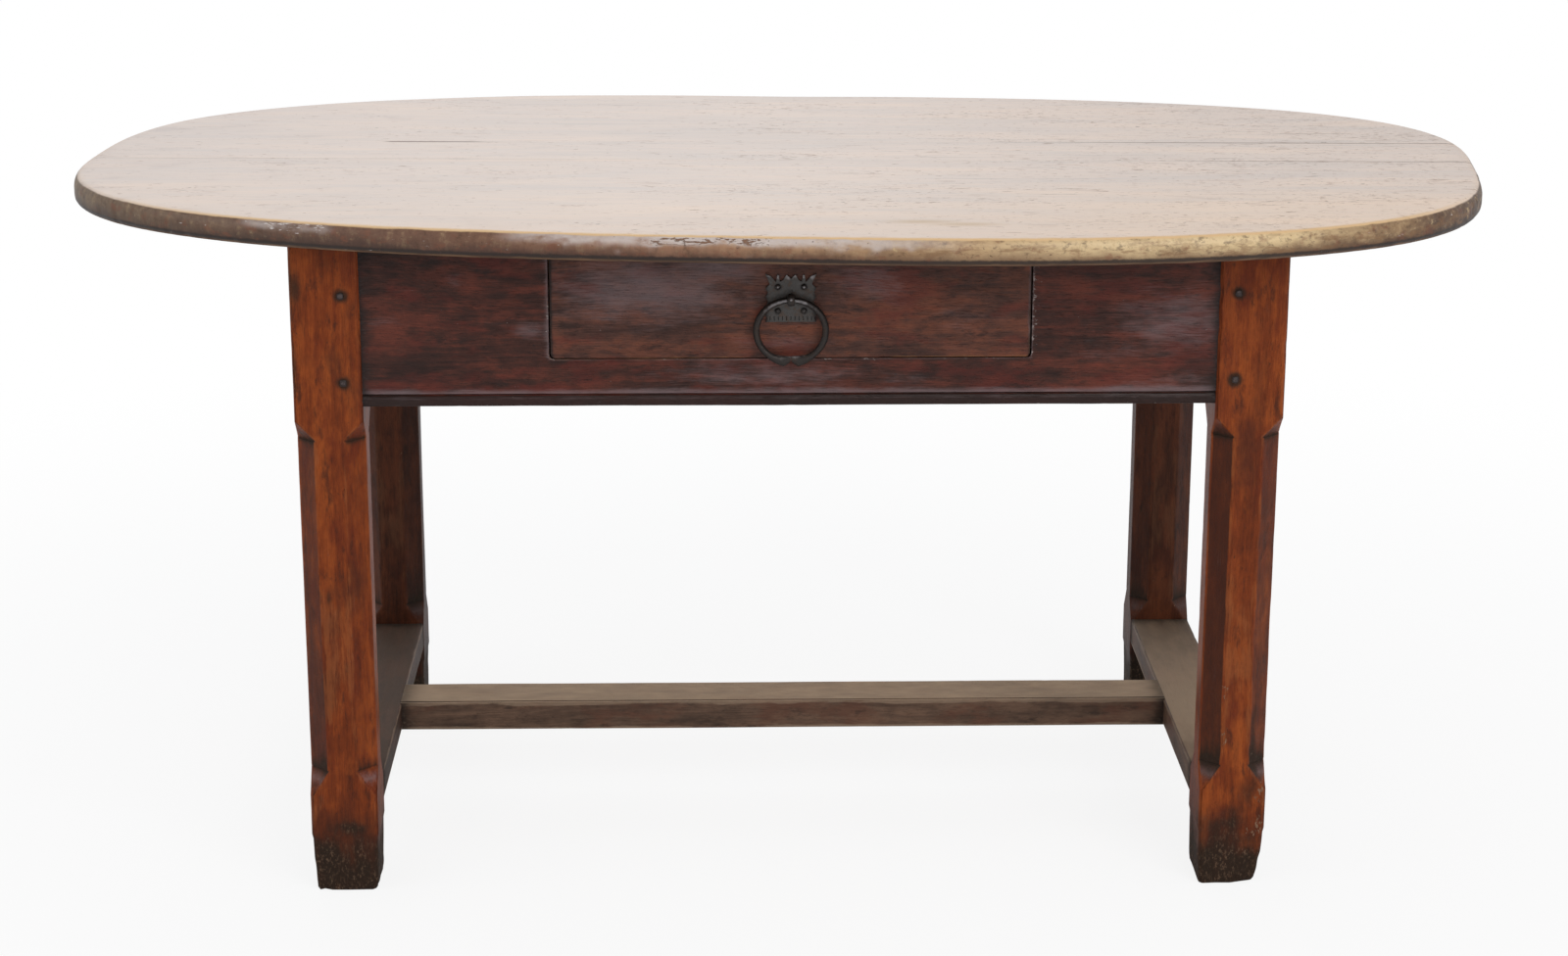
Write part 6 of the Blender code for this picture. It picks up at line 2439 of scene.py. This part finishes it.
@dataclass
class Drawer:
    """The drawer: a waxed front, and a box of bare pine that keeps its solids.

    Attributes:
        width: Width of the front.
        bottom: Height of its lower edge.
        thickness: Thickness of the front.
        top_gap: Gap under the tabletop.
        tail_lap: Wood left in front of the dovetails.
        tail_half: Half the narrow width of a dovetail.
        tail_slope: How much a dovetail widens, as a share of its length.
        tail_rises: Heights of the dovetails, as shares of the side's height.
        side_lap: How far a side lies inside the front's end.
        side_drop: How much lower than the front a side is.
    """

    width: float = 0.510
    bottom: float = APRON_BOTTOM + 0.0528
    thickness: float = 0.025
    top_gap: float = 0.002
    tail_lap: float = 0.008
    tail_half: float = 0.018
    tail_slope: float = 0.14
    tail_rises: tuple[float, float] = (0.25, 0.74)
    side_lap: float = 0.0123
    side_drop: float = 0.005

    def front(self) -> None:
        """Build the front board and cut the sockets of the dovetails into its ends."""
        material = DRAWER_WALNUT.material()
        height = UNDERSIDE - self.top_gap - self.bottom
        board = DrawerFront(
            name="drawer_front_board", length=self.width, width=height,
            thickness=self.thickness, place=upright(APRON_FACE, self.bottom), seed=251,
            arris=0.0007, end_arris=0.0008, step=0.0055, soiled=0.003, worn=1.15,
        )
        piece = board.build()
        for tool in self.sockets(height):
            cut = piece.modifiers.new("socket", "BOOLEAN")
            cut.operation = "DIFFERENCE"
            cut.solver = "EXACT"
            cut.object = tool
            bpy.context.view_layer.update()
            shaped = piece.evaluated_get(bpy.context.evaluated_depsgraph_get())
            mesh = bpy.data.meshes.new_from_object(shaped)
            piece.modifiers.clear()
            piece.data = mesh
            bpy.data.objects.remove(tool)
        piece.data.set_sharp_from_angle(angle=math.radians(32))
        settle(piece, material, "dark_walnut", "drawer", "drawer_front")

    def sockets(self, height: float) -> list[Piece]:
        """Cutting tools in the shape of the four dovetails.

        Args:
            height: Height of the front.

        Returns:
            The tools.
        """
        shoulder = -APRON_FACE + self.thickness
        tip = -APRON_FACE + self.tail_lap - HAIR
        tools = []
        for sign in (-1, 1):
            inner = sign * (self.width / 2 - self.side_lap)
            outer = sign * (self.width / 2 + 0.004)
            for rise in self.tail_rises:
                centre = self.bottom + rise * (height - self.side_drop)
                narrow = self.tail_half + HAIR
                wide = narrow + (shoulder - tip) * self.tail_slope
                outline = [
                    (shoulder + 0.004, -narrow), (shoulder, -narrow), (tip, -wide),
                    (tip, wide), (shoulder, narrow), (shoulder + 0.004, narrow),
                ]
                y, z = np.array(outline).T
                skin = Skin()
                skin.tube([skin.add(stacked(x, y, centre + z)) for x in (inner, outer)])
                tool = skin.mesh("socket_tool", Matrix.Identity(4), Matrix.Identity(4))
                tool.hide_render = True
                tools.append(tool)
        return tools

    def build(self, nodes: dict[str, Piece]) -> None:
        """Build the front and dress the box.

        Args:
            nodes: The part's nodes.
        """
        self.front()
        pine = BarePine()
        dress(nodes, pine.material(Grain.ALONG_X), "drawer_bottom", "drawer_back",
              "glue_block_front_left", "glue_block_front_right", "glue_block_back_left",
              "glue_block_back_right")
        dress(nodes, pine.material(Grain.ALONG_Y), "drawer_side_left", "drawer_side_right",
              "drawer_runner_left", "drawer_runner_right", "glue_block_left",
              "glue_block_right")


def dress(nodes: dict[str, Piece], material: Material, *names: str) -> None:
    """Give nodes that stay a finish and ease their arrises.

    Args:
        nodes: The part's nodes.
        material: The finish.
        names: Names of the nodes.
    """
    for name in names:
        node = nodes[name]
        node.data.materials.clear()
        node.data.materials.append(material)
        weld = node.modifiers.new("weld", "WELD")
        weld.merge_threshold = 0.00002
        eased = node.modifiers.new("eased", "BEVEL")
        eased.width = 0.0006
        eased.segments = 2
        eased.limit_method = "ANGLE"
        eased.angle_limit = math.radians(40)
        log.info("%s: keeps its solid", name)


@dataclass
class Pull:
    """The iron pull: a toothed plate, four nails, a cotter eye and a bent ring.

    Attributes:
        plate_face: Depth of the plate's face.
        nail_spread: Distance between two nails.
        nail_heights: Heights of the two rows of nails.
        head_radius: Radius of a nail's head.
        head_height: Its height.
        pivot: Centre that the ring turns on, Y and Z.
        ring_width: Outer width of the ring.
        ring_height: Outer height of the ring.
        bar: Radius of the bar at top and bottom.
        side_bar: Radius of the bar at the sides.
        paddle: Half width of the flattened ends.
        paddle_thin: Half their thickness.
        end_gap: Gap between the two ends.
        highlight_from: Height from which the plate gets a painted highlight.
        eye_reach: Radius of the middle of the eye's strap.
        strap: Thickness of the strap.
        strap_width: Its width.
        inside: Depth of the drawer front's inner face.
        clench: How far the strap's two legs are bent over inside.
    """

    plate_face: float = -0.3298
    nail_spread: float = 0.0276
    nail_heights: tuple[float, float] = (0.6602, 0.6861)
    head_radius: float = 0.0032
    head_height: float = 0.0022
    pivot: tuple[float, float] = (-0.3370, 0.6735)
    ring_width: float = 0.081
    ring_height: float = 0.0765
    bar: float = 0.0033
    side_bar: float = 0.0037
    paddle: float = 0.0062
    paddle_thin: float = 0.0026
    end_gap: float = 0.0008
    highlight_from: float = 0.6865
    eye_reach: float = 0.0056
    strap: float = 0.0024
    strap_width: float = 0.0080
    inside: float = -0.3017
    clench: float = 0.0130

    def nails(self, material: Material) -> None:
        """Build the four nails with their forged heads.

        Args:
            material: The iron.
        """
        skin = Skin()
        for number, (sign, z) in enumerate(
            (sign, z) for z in self.nail_heights for sign in (-1, 1)
        ):
            rng = np.random.default_rng(600 + number)
            # Painted highlight at the middle of each head, brighter on the upper row, through the
            # wear mark.
            painted_glint = 1.0 if z > self.pivot[1] else 0.6
            turn = turns(20)
            facets = 1 + 0.05 * np.cos(turn * 4 + rng.uniform(0, 6))
            sections = []
            for angle in (4, 22, 40, 58, 76, 90):
                lean = math.radians(angle)
                radius = self.head_radius * math.sin(lean) * facets
                depth = -self.head_height * math.cos(lean)
                sections.append((depth, radius, painted_glint * (1.5 - angle / 30)))
            sections += [(0.0, 0.0012, 0.0), (0.014, 0.0011, 0.0)]
            rows = []
            for depth, radius, wear in sections:
                x = sign * self.nail_spread / 2 + radius * np.cos(turn)
                y = self.plate_face - HAIR + depth
                points = stacked(x, y, z + radius * np.sin(turn))
                rows.append(skin.add(points, wear=wear))
            skin.tube(rows)
        piece = skin.mesh("forged_nails", Matrix.Identity(4), plank_lay("XYZ", 1), 50.0)
        settle(piece, material, "wrought_iron", "drawer", "plate_nail_left_lower",
               "plate_nail_right_lower", "plate_nail_left_upper", "plate_nail_right_upper")

    def eye(self, material: Material) -> None:
        """Build the eye: a strap bent round the ring's bar, its legs clenched inside.

        Args:
            material: The iron.
        """
        y, z = self.pivot
        leg = self.strap / 2 + 0.0002
        start = math.asin(leg / self.eye_reach)
        turn = np.linspace(start, math.tau - start, 41)
        loop = stacked(y + self.eye_reach * np.cos(turn), z + self.eye_reach * np.sin(turn))
        behind = self.inside + self.strap / 2
        corner = [
            (behind - self.strap * (1 - math.sin(a)), z + leg + self.strap * (1 - math.cos(a)))
            for a in np.linspace(math.pi / 2, 0, 5)
        ]
        upper = np.array([(behind, z + self.clench), *corner])
        lower = upper[::-1] * (1, -1) + (0, 2 * z)
        path = np.concatenate([upper, loop, lower])
        ahead = np.gradient(path, axis=0)
        ahead /= np.linalg.norm(ahead, axis=-1, keepdims=True)
        aside = stacked(ahead[:, 1], -ahead[:, 0])
        rise = np.clip(np.abs(path[:, 1] - z) / (self.eye_reach + self.strap / 2), 0, 1)
        bent = path[:, 0] < y + self.eye_reach
        wide = self.strap_width / 2 * np.where(bent, np.sqrt(1 - 0.50 * rise**2), 0.8)
        around = turns(20)
        c, s = np.cos(around), np.sin(around)
        round_x = np.sign(c) * np.abs(c) ** 0.75
        round_n = np.sign(s) * np.abs(s) ** 0.75
        across = wide[:, None] * round_x
        out = self.strap / 2 * round_n
        plane = path[:, None] + aside[:, None] * out[None, :, None]
        points = np.concatenate([across[..., None], plane], axis=-1)
        # Painted highlight: a small glint on the front of the loop, through the wear mark.
        away = points - (0, y - self.eye_reach - self.strap / 2, z + 0.0012)
        away = np.linalg.norm(away, axis=-1)
        skin = Skin()
        index = skin.add(points, wear=np.exp(-((away / 0.0013) ** 2)) * 1.8)
        skin.tube(index)
        piece = skin.mesh("strap_eye", Matrix.Identity(4), plank_lay("XYZ", 3), 60.0)
        settle(piece, material, "wrought_iron", "drawer", "pull_eye")

    def ring(self, material: Material) -> None:
        """Build the ring, hammered along its bar and flattened at its two ends.

        Args:
            material: The iron.
        """
        noise = Relief(611)
        gap = math.asin(self.end_gap / self.ring_width)
        share = np.concatenate([
            np.linspace(0, 0.03, 8, endpoint=False), np.linspace(0.03, 0.97, 150),
            np.linspace(0.97, 1, 9)[1:],
        ])
        turn = gap + (math.tau - 2 * gap) * share
        to_end = np.minimum(share, 1 - share)
        bar = self.bar + (self.side_bar - self.bar) * np.abs(np.sin(turn))
        flare = plus(1 - to_end / 0.13)
        flare = flare * flare * (3 - 2 * flare)
        point = plus(1 - to_end / 0.028)
        wide = bar + (self.paddle - bar) * flare
        thin = bar + (self.paddle_thin - bar) * flare
        reach_x = self.ring_width / 2 - self.side_bar
        reach_z = (self.ring_height - self.bar - self.paddle) / 2
        outward = stacked(np.sin(turn), 0.0, -np.cos(turn))
        centre = stacked(reach_x * np.sin(turn), 0.0, -reach_z - reach_z * np.cos(turn))
        centre = centre - outward * (self.paddle * point / 2)[:, None]
        wide = wide * (1 - point / 2)
        around = turns(20)
        soft = 0.86 + 0.14 * np.abs(np.cos(around * 2)) ** 0.7
        out = (wide[:, None] * np.cos(around) * soft)[..., None] * outward[:, None]
        side = thin[:, None] * np.sin(around) * soft
        points = centre[:, None] + out + side[..., None] * np.array((0, 1, 0))
        blows = plus(noise.at(points, 0.006)) + 0.4 * plus(noise.at(points + 1, 0.0025))
        points = points - (points - centre[:, None]) * (blows * 0.07)[..., None]
        # Painted highlights on the bar's front, inner lip and top, with rubbing, through the wear
        # mark.
        front = np.clip(-(points - centre[:, None])[..., 1] / thin[:, None], 0, 1)
        ridge = front**2
        inner = np.clip(-np.cos(around), 0, 1)[None] ** 2
        high = np.clip(-np.cos(turn), 0, 1)[:, None] ** 1.5
        lip = inner * (0.35 + 0.65 * flare[:, None])
        wear = 0.22 * ridge + 1.0 * lip + 0.85 * high * ridge
        # Painted shade on the side of the bar that faces away from the front.
        hidden = np.clip(np.cos(around), 0, 1)[None] ** 2 * (1 - 0.5 * flare[:, None])
        skin = Skin()
        index = skin.add(points, wear=wear, soil=hidden * 0.8)
        skin.tube(index)
        place = Matrix.Translation((0, *self.pivot))
        piece = skin.mesh("bent_ring", place, plank_lay("XYZ", 2), 60.0)
        settle(piece, material, "wrought_iron", "ring", "pull_ring")

    def build(self, nodes: dict[str, Piece]) -> None:
        """Build the pull and dress its plate and eye.

        Args:
            nodes: The part's nodes.
        """
        iron = WroughtIron().material()
        half = self.nail_spread / 2
        nailed = tuple((half, -self.plate_face, z) for z in self.nail_heights)
        plate = WroughtIron(
            "plate_iron", tint(74, 71, 69), tint(80, 64, 54), highlight_from=self.highlight_from, nailed=nailed
        ).material()
        dress(nodes, plate, "pull_plate")
        self.nails(iron)
        self.eye(iron)
        self.ring(iron)


# Studio


@dataclass
class Studio:
    """Pale floor, soft lights and the camera.

    Attributes:
        camera_place: Place of the camera.
        tilt: Downward tilt of the camera, in degrees.
        swing: Turn of the camera about the vertical, to the left, in degrees.
        roll: Turn of the camera about its own axis, in degrees.
        focal: Focal length in pixels.
        picture: Width of the picture in pixels.
        aim: Point that the lights face.
        floor: Colour of the floor.
        floor_reach: Distance from its middle to its edges.
    """

    camera_place: Place = (-0.085, -3.552, 1.398)
    tilt: float = 15.96
    swing: float = -1.388
    roll: float = 0.106
    focal: float = 3185.0
    picture: int = 1600
    aim: Place = (0, 0, 0.5)
    floor: Tint = (0.86, 0.86, 0.86)
    floor_reach: float = 24.0

    def camera(self) -> None:
        """Place the camera."""
        data = bpy.data.cameras.new("camera")
        data.sensor_width = 36.0
        data.lens = data.sensor_width * self.focal / self.picture
        data.clip_end = 100.0
        camera = link("camera", data)
        camera.matrix_world = (
            Matrix.Translation(self.camera_place)
            @ Matrix.Rotation(math.radians(self.swing), 4, "Z")
            @ Matrix.Rotation(math.radians(90 - self.tilt), 4, "X")
            @ Matrix.Rotation(math.radians(self.roll), 4, "Z")
        )
        bpy.context.scene.camera = camera

    def lamp(self, name: str, place: Place, size: float, power: float, warm: Tint) -> None:
        """Add a soft area light that faces the table.

        Args:
            name: Name of the light.
            place: Where it is.
            size: Its width and height.
            power: Its power in watts.
            warm: Its colour.
        """
        data = bpy.data.lights.new(name, "AREA")
        data.shape = "SQUARE"
        data.size = size
        data.energy = power
        data.color = warm
        lamp = link(name, data)
        lamp.location = place
        lamp.rotation_mode = "QUATERNION"
        toward = Vector(self.aim) - Vector(place)
        lamp.rotation_quaternion = toward.to_track_quat("-Z", "Y")

    def lights(self) -> None:
        """Place the lights: one broad and frontal, a weaker one on the left and one behind."""
        self.lamp("front_light", (1.6, -3.2, 2.6), 2.4, 62.0, (1.0, 0.99, 0.97))
        self.lamp("left_light", (-3.2, -1.4, 2.0), 2.0, 15.0, (0.95, 0.98, 1.0))
        self.lamp("back_light", (-0.6, 3.2, 2.8), 2.4, 34.0, (0.97, 0.98, 1.0))

    def world(self) -> None:
        """White for the camera and through transmission, a plain level elsewhere."""
        paint = Paint("studio_air", world=True)
        bpy.context.scene.world = paint.owner
        seen = paint.seen("Camera").most(paint.seen("Transmission"))
        shades = [
            paint.node("ShaderNodeBackground", {}, {"Color": colour, "Strength": strength})
            for colour, strength in (((0.97, 0.98, 1.0), 0.62), ((1, 1, 1), 1.0))
        ]
        plain, white = (shade.outputs[0] for shade in shades)
        mix = paint.node("ShaderNodeMixShader", {}, {0: seen, 1: plain, 2: white})
        paint.node("ShaderNodeOutputWorld", {}, {"Surface": mix.outputs[0]})

    def ground(self) -> None:
        """Build the floor, which fades into the white background far from the table."""
        bm = bmesh.new()
        bmesh.ops.create_grid(bm, x_segments=24, y_segments=24, size=self.floor_reach)
        mesh = bpy.data.meshes.new("pale_floor")
        bm.to_mesh(mesh)
        bm.free()
        floor = link("pale_floor", mesh)
        paint = Paint("pale_floor")
        x, y, _ = paint.split(paint.place())
        away = (x * x + y * y) ** 0.5
        grain = paint.noise(paint.place(), (0.5, 0.5, 0.5), 3, 0.6)
        colour = paint.blend(grain * 0.04, self.floor, (0.78, 0.78, 0.78))
        matt = paint.node("ShaderNodeBsdfDiffuse", {}, {"Color": colour})
        glow = paint.node("ShaderNodeEmission", {}, {"Color": (1, 1, 1), "Strength": 1.0})
        share = paint.seen("Camera") * (0.86 + away.rise(0.8, 2.4) * 0.14)
        shaders = {0: share, 1: matt.outputs[0], 2: glow.outputs[0]}
        mix = paint.node("ShaderNodeMixShader", {}, shaders)
        paint.node("ShaderNodeOutputMaterial", {}, {"Surface": mix.outputs[0]})
        floor.data.materials.append(paint.owner)

    def build(self) -> None:
        """Set the studio up."""
        bpy.context.scene.view_settings.view_transform = "Standard"
        self.camera()
        self.lights()
        self.world()
        self.ground()
        log.info("studio: camera, three soft lights, floor")


def main() -> None:
    """Load the frame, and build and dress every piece."""
    logging.basicConfig(level=logging.INFO, format="%(name)s: %(message)s")
    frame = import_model()
    Studio().build()
    Tabletop().build()
    Undercarriage().build()
    Pegs().build()
    Drawer().build(frame["nodes"])
    Pull().build(frame["nodes"])


if __name__ == "__main__":
    main()
